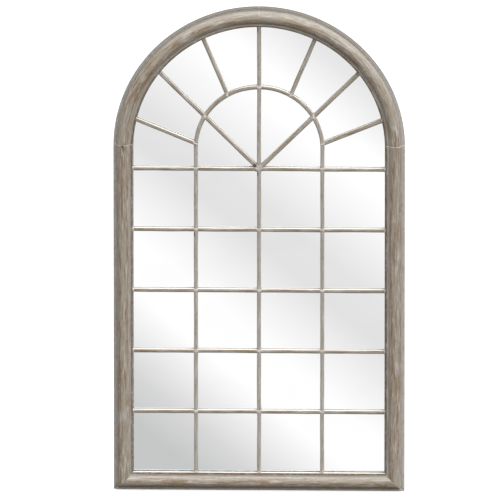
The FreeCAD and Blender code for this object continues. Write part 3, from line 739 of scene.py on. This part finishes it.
def spot(along, across, spots):
    """How deep and how dark the worn spots and the painted shadows are here."""
    sunk = dark = 0.0
    for at, beside, reach_along, reach_across, depth, darkness in spots:
        share = near(math.hypot((along - at) / reach_along, (across - beside) / reach_across), 0, 1)
        sunk = max(sunk, depth * share)
        dark = max(dark, darkness * min(1.0, share * 1.8))
    return sunk, dark


# Worn spots, and painted shadows that are dark but not sunk: where along and across the piece, how far they reach
# along and across, how deep, how dark.
SEAM_CHIPS = (
    (SEAM - 3 * MM, 28 * MM, 6 * MM, 5 * MM, 1.6 * MM, 1.0),
    (SEAM - 13 * MM, 31 * MM, 16 * MM, 4 * MM, 0.8 * MM, 0.75),
)
SEAM_NICK = ((SEAM - 2 * MM, 30 * MM, 4 * MM, 3 * MM, 0.8 * MM, 0.3),)
# The next two are painted shadows below the hub and the crossings, dark but not sunk.
BAR_PAINTED_SHADOW = (5 * MM, 10 * MM, 4 * MM, 0.0, 1.0)      # without its place along the bar
RAY_PAINTED_SHADOW = (12 * MM, 0.0, 6 * MM, 9 * MM, 0.0, 1.0)

# How long and how wide the brushed grain and the plane's waves run.
MOULDING_GRAIN = (45 * MM, 2.2 * MM)
MOULDING_WAVE = (130 * MM, 40 * MM)
WORN_LEFT, WORN_RIGHT = 2.5 * MM, 1.2 * MM          # how far the outer lip is worn back at the lower corners
CORNER_REACH = 7 * MM
JOINT_REACH = 2.2 * MM                              # how far the groove and the filler reach from a joint


def moulding_mark(inset, depth, zone, spray, upward, filler):
    """How much painted shade, painted light with edge wear, filler and dark stain lie at a place on a moulding.

    Of the two facings, the first says how far the place turns to the direction of the painted light, the second how
    far the moulding's outer side faces up.
    Each line below says near what, how far from it and how strongly.
    """
    # Painted shade: darker in the quirk, at the foot of the outer lip and on faces turned away from the lamps.
    shade_and_wear = max(
        near(math.hypot(inset - QUIRK, depth - INNER_LIP), 0, 2.5 * MM) * 0.4,
        near(math.hypot(inset - OUTER_LIP, depth - LIP_DEPTH), 0, 3 * MM) * 0.35,
        max(0.0, -spray) ** 0.8 * 0.7,
    )
    # Edge wear pales the two arrises; painted light pales the faces turned to the lamps.
    rubbed_and_lit = max(
        near(math.hypot(inset - QUIRK, depth - QUIRK_DEPTH), 0, 3.5 * MM) * 0.6,
        near(math.hypot(inset, depth - LIP_DEPTH), 0, 3 * MM) * 0.4,
        max(0.0, spray - 0.25) * 0.9,
    )
    if zone == "inner_lip":
        # Painted shade darkens the inner lip towards the glass; painted light pales it near the quirk, where the roll
        # casts shade.
        shade_and_wear = max(shade_and_wear, min(1.0, near(inset, MOULDING, 9 * MM) * 1.2))
        rubbed_and_lit = near(inset, QUIRK, 6 * MM) * 0.8
    if zone == "outer_lip":
        # Painted light: the outer lip, shaded by the roll, is painted pale.
        rubbed_and_lit = 0.7
    # The outer side has its real dark stain. Along the top of the arch, where the outer side faces up to the top lamp,
    # the lip and the foot of the roll are painted darker with it, as painted shade.
    stain = 0.75 if zone == "outer_side" else 0.55 * max(0.0, upward) * near(inset, 0, 22 * MM)
    # Painted light and shade: the inner side is painted pale with filler where it faces the lamps and dark where it
    # faces away.
    if zone == "inner_side":
        if spray > 0.3:
            filler = max(filler, 0.95)
            shade_and_wear = 0.0
        else:
            shade_and_wear = max(shade_and_wear, 0.8)
    return min(1.0, shade_and_wear), min(1.0, rubbed_and_lit), filler, stain


def moulding_mesh(name, wood, seed, length_at, point_at, joints, spots, corners):
    """A moulding whose ends follow the joints.

    length_at(inset) gives where the piece starts and ends for that inset, measured along its outer edge line;
    point_at(inset, depth, along) gives the world point; joints says how much filler shows at its start and
    end, corners how far the outer lip is worn back there.
    """
    outline = moulding_outline()
    into = inward(outline)
    start, end = length_at(0)
    distances = stations(end - start, wood.station_spacing)
    total = distances[-1]
    # Moves the noise, so that no two pieces are uneven in the same places.
    shift = Vector((seed * 3.1, seed * 1.7, seed * 0.9))

    def uneven(along, inset, depth, length, width, moved):
        return half_up(noise.noise(Vector((along / length, inset / width, depth / width)) + moved))

    def relief(i, k):
        inset, depth, zone = outline[i]
        along = distances[k]
        if zone == "back":
            return 0.0
        sunk = wood.grain_relief * uneven(along, inset, depth, *MOULDING_GRAIN, shift)
        sunk += wood.waviness * uneven(along, inset, depth, *MOULDING_WAVE, shift * 2)
        sunk += wood.joint_gap * near(min(along, total - along), 0, JOINT_REACH)
        if zone in ("outer_side", "outer_lip"):
            sunk += (corners[0] * near(along, 0, CORNER_REACH)
                     + corners[1] * near(total - along, 0, CORNER_REACH))
        return sunk + spot(start + along, inset, spots)[0]

    def place(i, k):
        inset, depth = outline[i][:2]
        sunk = relief(i, k)
        first, last = length_at(inset)
        along = first + (last - first) * distances[k] / total
        return point_at(inset + into[i][0] * sunk, depth + into[i][1] * sunk, along)

    def mark(i, k):
        inset, depth, zone = outline[i]
        along = distances[k]
        spray = facing_toward(point_at, inset, depth, start + along, into[i])
        upward = facing_toward(point_at, inset, depth, start + along, OUTER_SIDE, UP)
        filler = max(near(along, 0, JOINT_REACH) * joints[0], near(total - along, 0, JOINT_REACH) * joints[1])
        shade_and_wear, rubbed_and_lit, filler, stain = moulding_mark(inset, depth, zone, spray, upward, filler)
        dark = spot(start + along, inset, spots)[1]
        return (shade_and_wear, rubbed_and_lit * (1 - dark), filler * (1 - dark), max(stain, dark))

    return sweep(name, outline, distances, place, mark, seed, raw_zones=("back",))


def stile_point(side):
    return lambda inset, depth, along: Vector((side * (HALF_WIDTH - inset), -depth, along))


def arch_point(side):
    def point(inset, depth, along):
        radius = HALF_WIDTH - inset
        angle = along / HALF_WIDTH
        return Vector((side * radius * math.cos(angle), -depth, SPRING + radius * math.sin(angle)))
    return point


def rail_point(inset, depth, along):
    return Vector((along, -depth, inset))


def stile_length(inset):
    """A stile stands on its mitre and ends at the seam."""
    return inset, SEAM


def rail_length(inset):
    """The rail has a mitre at both ends."""
    return inset - HALF_WIDTH, HALF_WIDTH - inset


def arch_length(inset):
    """The arch quarter starts at the seam, which is a level cut, and ends at the crown."""
    radius = HALF_WIDTH - inset
    return math.asin((SEAM - SPRING) / radius) * HALF_WIDTH, math.pi / 2 * HALF_WIDTH


PLATE_LINE = 25 * MM                # middle line of the joint plates, from the outer edge
PLATE_LEG = 64 * MM                 # from the corner of a corner plate's middle line to the ends of its legs
PLATE_HALF = 32 * MM                # half the length of a straight plate's middle line
HOUSING_HALF = 8.3 * MM             # half the width of a housing
HOUSING_FLOOR = 3 * MM
CUTTER_PROUD = 2 * MM               # how far a cutter stands out behind, so that it cuts cleanly
CUTTER_STEPS = 12                   # in each of its round ends

SIDE_X = HALF_WIDTH - PLATE_LINE
UPRIGHT_TURN = math.pi / 2
# Each housing is one round-ended bar: x and z of its start, its length and its angle.
HOUSINGS = {
    "corner_left": (-SIDE_X, PLATE_LINE, PLATE_LEG, 0),
    "corner_left_up": (-SIDE_X, PLATE_LINE, PLATE_LEG, UPRIGHT_TURN),
    "corner_right": (SIDE_X, PLATE_LINE, PLATE_LEG, math.pi),
    "corner_right_up": (SIDE_X, PLATE_LINE, PLATE_LEG, UPRIGHT_TURN),
    "seam_left": (-SIDE_X, SEAM - PLATE_HALF, 2 * PLATE_HALF, UPRIGHT_TURN),
    "seam_right": (SIDE_X, SEAM - PLATE_HALF, 2 * PLATE_HALF, UPRIGHT_TURN),
    "crown": (-PLATE_HALF, HEIGHT - PLATE_LINE, 2 * PLATE_HALF, 0),
}


def plate_cutter(name, x, z, length, angle):
    """A tool that sinks a joint plate's housing into the back."""
    ring = []
    for centre, first in ((0, math.pi / 2), (length, math.pi / 2 + math.pi)):
        for i in range(CUTTER_STEPS + 1):
            turn = first + math.pi * i / CUTTER_STEPS
            px = centre + HOUSING_HALF * math.cos(turn)
            pz = HOUSING_HALF * math.sin(turn)
            ring.append((x + px * math.cos(angle) - pz * math.sin(angle),
                         z + px * math.sin(angle) + pz * math.cos(angle)))
    work = bmesh.new()
    low = [work.verts.new((px, -CUTTER_PROUD, pz)) for px, pz in ring]
    high = [work.verts.new((px, HOUSING_FLOOR, pz)) for px, pz in ring]
    work.faces.new(low)
    work.faces.new(list(reversed(high)))
    band(work, low, high)
    return add_object(name, finish_mesh(work, name))


def sink_plates(piece, cutters):
    """Cuts the plate housings out of a moulding's back."""
    for cutter in cutters:
        modifier = piece.modifiers.new("housing", "BOOLEAN")
        modifier.operation = "DIFFERENCE"
        modifier.object = cutter
        modifier.solver = "EXACT"
        modifier.use_self = True
    evaluated = piece.evaluated_get(bpy.context.evaluated_depsgraph_get())
    mesh = bpy.data.meshes.new_from_object(evaluated)
    piece.modifiers.clear()
    old = piece.data
    piece.data = mesh
    bpy.data.meshes.remove(old)
    if len(mesh.polygons) < 100:
        raise RuntimeError(f"{piece.name} was lost in cutting its plate housings")


class MIRROR_OT_mouldings(bpy.types.Operator):
    """Make the two stiles, the two arch quarters and the bottom rail, with their joints and plate housings"""

    bl_idname = "window_mirror.mouldings"
    bl_label = "Frame Mouldings"

    def execute(self, context):
        settings = context.scene.window_mirror
        wood = settings.wood
        materials = [limed_pine(wood), bare_pine(wood)]
        cutters = {name: plate_cutter("housing_" + name, *bar) for name, bar in HOUSINGS.items()}
        pieces = (
            ("stile_left", 0, stile_length, stile_point(-1), (0.1, 0.45), SEAM_CHIPS, (WORN_LEFT, 0),
             ("corner_left", "corner_left_up", "seam_left")),
            ("stile_right", 11, stile_length, stile_point(1), (0.2, 0.6), SEAM_NICK, (WORN_RIGHT, 0),
             ("corner_right", "corner_right_up", "seam_right")),
            ("arch_left", 31, arch_length, arch_point(-1), (0.25, 0.1), (), (0, 0), ("seam_left", "crown")),
            ("arch_right", 23, arch_length, arch_point(1), (0.4, 0.25), (), (0, 0), ("seam_right", "crown")),
            ("bottom_rail", 43, rail_length, rail_point, (0.1, 0.25), (), (WORN_LEFT, WORN_RIGHT),
             ("corner_left", "corner_left_up", "corner_right", "corner_right_up")),
        )
        for name, number, length_at, point_at, joints, spots, corners, housings in pieces:
            mesh = moulding_mesh(
                name, wood, settings.seed + number, length_at, point_at, joints, spots, corners)
            piece = finish_object("limed_" + name, mesh, materials, WOOD_SLOT, (name,))
            sink_plates(piece, [cutters[housing] for housing in housings])
        for cutter in cutters.values():
            mesh = cutter.data
            bpy.data.objects.remove(cutter)
            bpy.data.meshes.remove(mesh)
        return {"FINISHED"}


# Glazing bars -----------------------------------------------------------------

# How far each kind of unevenness runs along a bar, and where it has one, its width.
BAR_WANDER = 95 * MM
BAR_SWELL = 60 * MM
BAR_FLAT = 40 * MM
BAR_GRAIN = (30 * MM, 1.8 * MM)
BAR_WEAR = (35 * MM, 6 * MM)
SWELL_SHARE = 0.06                  # of the bar's width
FLAT_DEPTH = 0.35 * MM
CROSSING_REACH = 8 * MM             # how far the filler reaches from a crossing
RAY_BITE = 3 * MM                   # how far inside the ring's outer side the short rays start


def ray_length(angle, radius):
    """The distance along a ray, from the hub to a circle of that radius about the arch's centre."""
    drop = SPRING - HUB
    return drop * math.sin(angle) + math.sqrt(radius ** 2 - (drop * math.cos(angle)) ** 2)


def make_bar(name, wood, seed, length, point_at, knots, spots=()):
    """A glazing bar.

    point_at(offset, depth, along) gives the world point; knots are where other bars cross.
    """
    material = bpy.data.materials.get("limed_pine_brushed_and_rubbed")
    if material is None:
        raise RuntimeError("make the mouldings first, because the bars share their finish")
    outline = bar_outline()
    into = inward(outline)
    distances = stations(length, wood.station_spacing * 0.8)
    shift = Vector((seed * 2.3, seed * 1.1, seed * 0.7))

    def uneven(*place):
        return noise.noise(Vector(place) + shift)

    def place(i, k):
        offset, depth, zone = outline[i]
        along = distances[k]
        wander = uneven(along / BAR_WANDER, 0, 0) * wood.bar_waviness
        swell = uneven(along / BAR_SWELL, 5, 0) * SWELL_SHARE
        run, width = BAR_GRAIN
        grain = uneven(along / run, offset / width, depth / width)
        sunk = 0.0 if zone == "bar_back" else wood.grain_relief * 0.8 * half_up(grain)
        if zone == "bar_front":
            sunk += FLAT_DEPTH * half_up(uneven(along / BAR_FLAT, 9, 0))
        return point_at(offset * (1 + swell) + into[i][0] * sunk + wander, depth + into[i][1] * sunk, along)

    def mark(i, k):
        offset, depth, zone = outline[i]
        along = distances[k]
        spray = facing_toward(point_at, offset, depth, along, into[i], BAR_PAINTED_LIGHT_FROM)
        filler = max(near(along, knot, CROSSING_REACH) for knot in knots) * 0.6
        shade_and_wear = rubbed_and_lit = 0.0
        if zone == "bar_side":
            # Painted light and shade: a side face turned to the lamps is painted pale with filler, one turned away is
            # painted dark.
            filler = max(filler, min(1.0, max(0.0, spray) * 2))
            shade_and_wear = min(1.0, max(0.0, -spray) * 1.2)
        if zone == "bar_front":
            worn = uneven(along / BAR_WEAR[0], offset / BAR_WEAR[1], 3)
            # Random worn patches darken the front; painted shade darkens it where it turns to the lamps and along the
            # edge on its positive-offset side, the left edge of an upright.
            shade_and_wear = max(0.45 * max(0.0, worn), 0.85 * max(0.0, spray), 0.5 * near(offset, BAR_HALF, 2 * MM))
            # Bars that stand upright kept more of the wash than bars that lie level.
            level = abs(facing_toward(point_at, offset, depth, along, OUTER_SIDE, UP))
            # Painted light: the front is paler where it turns away from the lamps.
            rubbed_and_lit = 0.8 * max(0.0, -spray) + 0.4 * (1 - level)
            # Painted light: the front is painted pale with filler where it turns well towards the lamps.
            filler = max(filler, min(1.0, max(0.0, spray - 0.72) * 6))
        dark = spot(along, offset, spots)[1]
        return (shade_and_wear, min(1.0, rubbed_and_lit), filler * (1 - dark), dark)

    mesh = sweep(name, outline, distances, place, mark, seed)
    finish_object("limed_" + name, mesh, [material], WOOD_SLOT, (name,))


def straight_run(x, z, angle):
    """Where a point of a straight bar lies that starts at x, z and runs at that angle above +X."""
    along_x, along_z = math.cos(angle), math.sin(angle)
    return lambda offset, depth, along: Vector(
        (x + along * along_x - offset * along_z, -depth, z + along * along_z + offset * along_x))


def ring_run(offset, depth, along):
    """Where a point of the half ring lies; along is measured on its middle line from the right."""
    angle = along / RING
    radius = RING + offset
    return Vector((radius * math.cos(angle), -depth, SPRING + radius * math.sin(angle)))


class MIRROR_OT_grid_bars(bpy.types.Operator):
    """Make the three uprights and the five cross bars"""

    bl_idname = "window_mirror.grid_bars"
    bl_label = "Uprights and Cross Bars"

    def execute(self, context):
        settings = context.scene.window_mirror
        seed = settings.seed + 50
        crossings = [row - BAR_FOOT for row in ROWS]
        side_top = SPRING - BAR_FOOT
        centre_top = SPRING + HOUSED - BAR_FOOT
        # Painted shadows, dark but not sunk, under the hub, at the crown and under one crossing, on the left side of
        # the uprights.
        below = 14 * MM
        uprights = (
            ("bar_upright_left", side_top, crossings, ((ROWS[3] - BAR_FOOT - 13 * MM, *BAR_PAINTED_SHADOW),)),
            ("bar_upright_centre", centre_top, crossings + [SPRING + RING - BAR_FOOT],
             ((HUB - BAR_FOOT - below, *BAR_PAINTED_SHADOW), (centre_top - below, *BAR_PAINTED_SHADOW))),
            ("bar_upright_right", side_top, crossings, ()),
        )
        for number, (x, (name, length, knots, spots)) in enumerate(zip(COLUMNS, uprights)):
            run = straight_run(x, BAR_FOOT, math.pi / 2)
            make_bar(name, settings.wood, seed + number * 5, length, run, knots, spots)
        knots = [HOUSED + x for x in COLUMNS]
        for number, row in enumerate(ROWS, start=1):
            run = straight_run(-HOUSED, row, 0)
            make_bar(f"bar_cross_{number}", settings.wood, seed + 20 + number * 3, 2 * HOUSED, run, knots)
        return {"FINISHED"}


class MIRROR_OT_fan(bpy.types.Operator):
    """Make the half ring and the six rays of the fan"""

    bl_idname = "window_mirror.fan"
    bl_label = "Fan"

    def execute(self, context):
        settings = context.scene.window_mirror
        wood = settings.wood
        seed = settings.seed + 90
        half_turn = math.pi * RING
        across = ray_length(math.pi / 4, RING) * math.sqrt(0.5)
        crossing = RING * math.atan2(HUB + across - SPRING, across)
        make_bar("fan_ring", wood, seed, half_turn, ring_run, [crossing, half_turn / 2, half_turn - crossing])
        edge = RING + BAR_HALF - RAY_BITE
        for number, (word, degrees) in enumerate((("diagonal", 45.0), ("high", 67.5), ("low", 22.5))):
            angle = math.radians(degrees)
            from_hub = word == "diagonal"
            first = BAR_HALF if from_hub else ray_length(angle, edge)
            length = ray_length(angle, HOUSED) - first
            knots = [ray_length(angle, RING) - first if from_hub else 0.0]
            for side, side_word in ((-1, "left"), (1, "right")):
                turn = angle if side == 1 else math.pi - angle
                name = f"ray_{word}_{side_word}"
                run = straight_run(side * first * math.cos(angle), HUB + first * math.sin(angle), turn)
                # The left diagonal ray has a painted shadow at its start, beside the hub.
                ray_shadow = (RAY_PAINTED_SHADOW,) if name == "ray_diagonal_left" else ()
                make_bar(name, wood, seed + 7 + number * 6 + side, length, run, knots, ray_shadow)
        return {"FINISHED"}


# Filler -----------------------------------------------------------------------

DAB_PROUD = 0.35 * MM               # how far a dab of putty stands out before the bars
DAB_DROP = 4.5 * MM                 # how far its rim lies behind their front
DAB_RINGS = 4
DAB_AROUND = 14
DAB_UNEVEN = 0.22
DAB_INSET = 1 * MM                  # how far its middle lies from the moulding, where a bar meets it

# Width and height of the dabs.
CROSSING_DAB = (18 * MM, 16 * MM)
HUB_DAB = (32 * MM, 25 * MM)
ROW_END_DAB = (9 * MM, 13 * MM)
CROWN_DAB = (14 * MM, 9 * MM)
FOOT_DAB = (13 * MM, 8 * MM)
RAY_CROSSING_DAB = (19 * MM, 19 * MM)
RAY_START_DAB = (12 * MM, 12 * MM)
RAY_END_DAB = (11 * MM, 11 * MM)


def dab(work, x, z, width, height, seed):
    """A low uneven dab of putty on the front of the bars."""
    shift = Vector((seed * 1.9, seed * 0.8, 0))
    middle = work.verts.new((x, -(BAR_FRONT + DAB_PROUD), z))
    previous = None
    for ring in range(1, DAB_RINGS + 1):
        share = ring / DAB_RINGS
        depth = BAR_FRONT + DAB_PROUD - (DAB_PROUD + DAB_DROP) * share ** 4
        row = []
        for i in range(DAB_AROUND):
            turn = 2 * math.pi * i / DAB_AROUND
            at = Vector((math.cos(turn) * 1.3, math.sin(turn) * 1.3, 0))
            uneven = 1 + DAB_UNEVEN * noise.noise(at + shift)
            row.append(work.verts.new((
                x + width / 2 * share * uneven * math.cos(turn), -depth,
                z + height / 2 * share * uneven * math.sin(turn))))
        if previous:
            band(work, previous, row)
        else:
            for i in range(DAB_AROUND):
                work.faces.new((middle, row[i], row[(i + 1) % DAB_AROUND]))
        previous = row
    work.faces.new(list(reversed(previous)))


class MIRROR_OT_filler(bpy.types.Operator):
    """Press putty over the bar crossings, the hub and the places where bars meet the frame"""

    bl_idname = "window_mirror.filler"
    bl_label = "Joint Filler"

    def execute(self, context):
        settings = context.scene.window_mirror
        places = []
        for row in ROWS:
            places += [(x, row, *CROSSING_DAB) for x in COLUMNS]
            places += [(side * (INNER - DAB_INSET), row, *ROW_END_DAB) for side in (-1, 1)]
        places.append((0.0, HUB + 3 * MM, *HUB_DAB))
        places.append((0.0, SPRING + RING, *CROSSING_DAB))
        places.append((0.0, SPRING + INNER - DAB_INSET, *CROWN_DAB))
        places += [(x, MOULDING + DAB_INSET, *FOOT_DAB) for x in COLUMNS]
        # A ray has a wide dab where it crosses the ring, and a narrow one where it ends.
        for degrees, at_ring in ((45.0, RAY_CROSSING_DAB), (67.5, RAY_START_DAB), (22.5, RAY_START_DAB)):
            angle = math.radians(degrees)
            for radius, size in ((RING, at_ring), (INNER, RAY_END_DAB)):
                along = ray_length(angle, radius)
                places += [(side * along * math.cos(angle), HUB + along * math.sin(angle), *size)
                           for side in (-1, 1)]
        work = bmesh.new()
        for number, place in enumerate(places, start=settings.seed + 200):
            dab(work, *place, number)
        mesh = finish_mesh(work, "joint_filler")
        finish_object("joint_filler", mesh, [lime_putty(settings.wood)], WOOD_SLOT)
        return {"FINISHED"}


# Glass ------------------------------------------------------------------------

GLASS_ARRIS = 0.6 * MM
GLASS_STEPS = 96                    # round the arch


class MIRROR_OT_glass(bpy.types.Operator):
    """Make the silvered sheet with its ground edge"""

    bl_idname = "window_mirror.glass"
    bl_label = "Mirror Glass"

    def execute(self, context):
        settings = context.scene.window_mirror
        low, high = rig.box("mirror_glass")
        half = high.x
        turns = [math.pi * i / GLASS_STEPS for i in range(GLASS_STEPS + 1)]
        work = bmesh.new()

        def loop(shrink, depth):
            radius = half - shrink
            points = [(radius * math.cos(turn), SPRING + radius * math.sin(turn)) for turn in turns]
            points += [(-radius, low.z + shrink), (radius, low.z + shrink)]
            return [work.verts.new((x, -depth, z)) for x, z in points]

        clear = loop(half - INNER + RIM_SEEN, GLASS_DEPTH_SEEN)
        front = loop(GLASS_ARRIS, GLASS_DEPTH_SEEN)
        edge = loop(0, GLASS_DEPTH_SEEN - GLASS_ARRIS)
        rear = loop(0, -high.y)
        work.faces.new(clear)
        work.faces.new(list(reversed(rear)))
        # The faces outside the clear face take the painted-shade rim.
        for one, two in ((clear, front), (front, edge), (edge, rear)):
            for face in band(work, one, two):
                face.material_index = 1
        materials = [silvered_float_glass(settings.glass), painted_shade_rim(settings.glass)]
        mesh = finish_mesh(work, "silvered_sheet")
        finish_object("silvered_sheet", mesh, materials, GLASS_SLOT, ("mirror_glass",))
        return {"FINISHED"}


# Hardware on the back ---------------------------------------------------------

class MIRROR_OT_hardware(bpy.types.Operator):
    """Give the back board, plates, screws, hangers, dowels and rubber parts their materials"""

    bl_idname = "window_mirror.hardware"
    bl_label = "Back Hardware"

    def execute(self, context):
        finishes = {
            "zinc_plated_steel": zinc_plate(),
            "yellow_zinc_screw": yellow_passivate(),
            "hardboard": pressed_hardboard(),
            "beech": turned_beech(),
            "black_rubber": moulded_rubber(),
        }
        for part in frame["record"]["subparts"]:
            material = finishes.get(part["material_slot"])
            if material is None:
                continue
            node = frame["nodes"][part["node"]]
            if not node.material_slots:
                raise RuntimeError(f"{part['node']} has no material slot")
            for slot in node.material_slots:
                slot.material = material
        return {"FINISHED"}


# Stage ------------------------------------------------------------------------

def seen_directly(tree):
    """1 for rays that come from the camera, or by way of glass or a polished surface."""
    path = add_node(tree, "ShaderNodeLightPath").outputs
    either = calculate(tree, "MAXIMUM", path["Is Camera Ray"], path["Is Glossy Ray"])
    return calculate(tree, "MAXIMUM", either, path["Is Transmission Ray"])


def white_room(scene, stage):
    """A white surround for the eye, with an even light that comes from above more than from below."""
    world = bpy.data.worlds.new("white_room")
    world.use_nodes = True
    tree = world.node_tree
    tree.nodes.clear()
    direction = add_node(tree, "ShaderNodeSeparateXYZ", {
        "Vector": add_node(tree, "ShaderNodeTexCoord").outputs["Generated"]})
    level = blend(
        tree, direction.outputs["Z"], -0.15, 0.25, stage.ground_light, stage.sky_light, "SMOOTHSTEP")
    even = add_node(tree, "ShaderNodeBackground", {"Color": tone(WHITE), "Strength": level})
    white = add_node(tree, "ShaderNodeBackground", {"Color": tone(WHITE), "Strength": 1.0})
    mixed = add_node(tree, "ShaderNodeMixShader", {
        0: seen_directly(tree), 1: even.outputs[0], 2: white.outputs[0]})
    show(tree, mixed, "ShaderNodeOutputWorld")
    scene.world = world


FLOOR_WIDTH = 30.0
FLOOR_GREY = (0.25, 0.25, 0.25)     # linear
FLOOR_GLOW = 0.80


def pale_floor():
    """A pale floor that reads as white, and still takes the mirror's soft shadow."""
    material, tree = new_material("floor_painted_white")
    matt = add_node(tree, "ShaderNodeBsdfDiffuse", {"Color": rgba(FLOOR_GREY)})
    glow = add_node(tree, "ShaderNodeEmission", {"Color": tone(WHITE), "Strength": FLOOR_GLOW})
    both = add_node(tree, "ShaderNodeAddShader", {0: matt.outputs[0], 1: glow.outputs[0]})
    show(tree, add_node(tree, "ShaderNodeMixShader", {
        0: seen_directly(tree), 1: matt.outputs[0], 2: both.outputs[0]}))
    side = FLOOR_WIDTH / 2
    floor = flat_sheet(
        "floor", [(-side, -side, 0), (side, -side, 0), (side, side, 0), (-side, side, 0)], material)
    floor.visible_diffuse = False
    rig.stage(floor)


def flat_sheet(name, corners, material):
    mesh = bpy.data.meshes.new(name)
    mesh.from_pydata(corners, [], [(0, 1, 2, 3)])
    mesh.materials.append(material)
    return add_object(name, mesh)


# Where along the slant of the card each tone lies, in metres, and its sRGB grey.
CARD_TONES = (
    (-1.115, "#e5e5e5"), (-0.974, "#fdfdfd"), (-0.882, "#ffffff"), (-0.637, "#e3e3e3"), (-0.533, "#e1e1e1"),
    (-0.313, "#fdfdfd"), (-0.178, "#fefefe"), (0.018, "#d6d6d6"), (0.128, "#c5c7c7"))
CARD_SLANT = (-0.6543, 0.0, -0.7562)        # the bands climb from left to right, at right angles to this
CARD_GLOW = 1.06
CARD_SIDE, CARD_FRONT, CARD_FOOT, CARD_TOP = 5, -0.2, 0.001, 4


def shaded_card():
    """A softly shaded card in front of the mirror, seen only in the glass, for its slanting bands of tone."""
    material, tree = new_material("card_airbrushed")
    slant = add_node(tree, "ShaderNodeVectorMath", {0: object_place(tree), 1: CARD_SLANT},
                     operation="DOT_PRODUCT").outputs["Value"]
    first, last = CARD_TONES[0][0], CARD_TONES[-1][0]
    ramp = add_node(tree, "ShaderNodeValToRGB", {"Fac": blend(tree, slant, first, last)})
    elements = ramp.color_ramp.elements
    elements.remove(elements[1])
    elements[0].position = 0.0
    elements[0].color = tone(CARD_TONES[0][1])
    for slant_at, grey in CARD_TONES[1:]:
        elements.new((slant_at - first) / (last - first)).color = tone(grey)
    show(tree, add_node(tree, "ShaderNodeEmission", {"Color": ramp.outputs["Color"], "Strength": CARD_GLOW}))
    card = flat_sheet("card", [
        (-CARD_SIDE, CARD_FRONT, CARD_FOOT), (CARD_SIDE, CARD_FRONT, CARD_FOOT),
        (CARD_SIDE, CARD_FRONT, CARD_TOP), (-CARD_SIDE, CARD_FRONT, CARD_TOP)], material)
    card.visible_camera = False
    card.visible_diffuse = False
    card.visible_shadow = False
    card.visible_transmission = False
    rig.stage(card)


LAMP_DISTANCE = 3                   # in metres; it only says where a user finds the lamp


def aim(thing, direction, axis):
    """Turns a lamp or camera so that its axis points in a direction."""
    thing.rotation_mode = "QUATERNION"
    thing.rotation_quaternion = direction.to_track_quat(axis, "Y")


def sun(name, direction, strength, softness):
    """A broad soft lamp that shines from a direction; softness is its width in degrees."""
    light = bpy.data.lights.new(name, "SUN")
    light.energy = strength
    light.angle = math.radians(softness)
    lamp = add_object(name, light)
    lamp.location = Vector(direction) * LAMP_DISTANCE
    aim(lamp, Vector(direction), "Z")


class MIRROR_OT_stage(bpy.types.Operator):
    """Set up the pale floor, the surround, the lights and the camera"""

    bl_idname = "window_mirror.stage"
    bl_label = "Stage"

    def execute(self, context):
        scene = context.scene
        stage = scene.window_mirror.stage
        scene.view_settings.view_transform = "Standard"
        white_room(scene, stage)
        pale_floor()
        shaded_card()
        sun("top_softbox", (0.0, -0.20, 0.98), stage.top_light, 40)
        sun("side_softbox", (0.66, -0.56, 0.50), stage.side_light, 30)
        sun("back_softbox", (-0.45, 0.80, 0.40), stage.back_light, 40)
        lens = bpy.data.cameras.new("camera")
        lens.lens = stage.focal_length
        distance = stage.view_width * lens.lens / lens.sensor_width
        lens.clip_start, lens.clip_end = 1.0, 2 * distance
        camera = add_object("camera", lens)
        turn, climb = stage.azimuth, stage.elevation
        back = Vector((math.sin(turn) * math.cos(climb), -math.cos(turn) * math.cos(climb), math.sin(climb)))
        camera.location = Vector((stage.aim_x, 0, stage.aim_z)) + back * distance
        aim(camera, -back, "-Z")
        scene.camera = camera
        return {"FINISHED"}


class MIRROR_PT_panel(bpy.types.Panel):
    """Lists the steps that build the arched window mirror"""

    bl_idname = "MIRROR_PT_panel"
    bl_label = "Arched Window Mirror"
    bl_space_type = "VIEW_3D"
    bl_region_type = "UI"
    bl_category = "Window Mirror"

    def draw(self, context):
        column = self.layout.column()
        for operator in OPERATORS:
            column.operator(operator.bl_idname)
        settings = context.scene.window_mirror
        for group in (settings.wood, settings.glass, settings.stage):
            box = self.layout.box()
            for name in group.__annotations__:
                box.prop(group, name)


OPERATORS = (
    MIRROR_OT_mouldings,
    MIRROR_OT_grid_bars,
    MIRROR_OT_fan,
    MIRROR_OT_filler,
    MIRROR_OT_glass,
    MIRROR_OT_hardware,
    MIRROR_OT_stage,
)
CLASSES = (WoodSettings, GlassSettings, StageSettings, MirrorSettings) + OPERATORS + (MIRROR_PT_panel,)


def register():
    for cls in CLASSES:
        bpy.utils.register_class(cls)
    bpy.types.Scene.window_mirror = PointerProperty(type=MirrorSettings)


def unregister():
    del bpy.types.Scene.window_mirror
    for cls in reversed(CLASSES):
        bpy.utils.unregister_class(cls)


def main():
    register()
    bpy.ops.window_mirror.mouldings()
    bpy.ops.window_mirror.grid_bars()
    bpy.ops.window_mirror.fan()
    bpy.ops.window_mirror.filler()
    bpy.ops.window_mirror.glass()
    bpy.ops.window_mirror.hardware()
    bpy.ops.window_mirror.stage()
    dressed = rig.bounds()
    boxes = {
        "cad": [list(CAD_BOX[0]), list(CAD_BOX[1])],
        "visual": [list(dressed[0]), list(dressed[1])],
    }
    with open(bpy.context.scene.window_mirror.size_file, "w") as file:
        json.dump(boxes, file, indent=1)


if __name__ == "__main__":
    main()
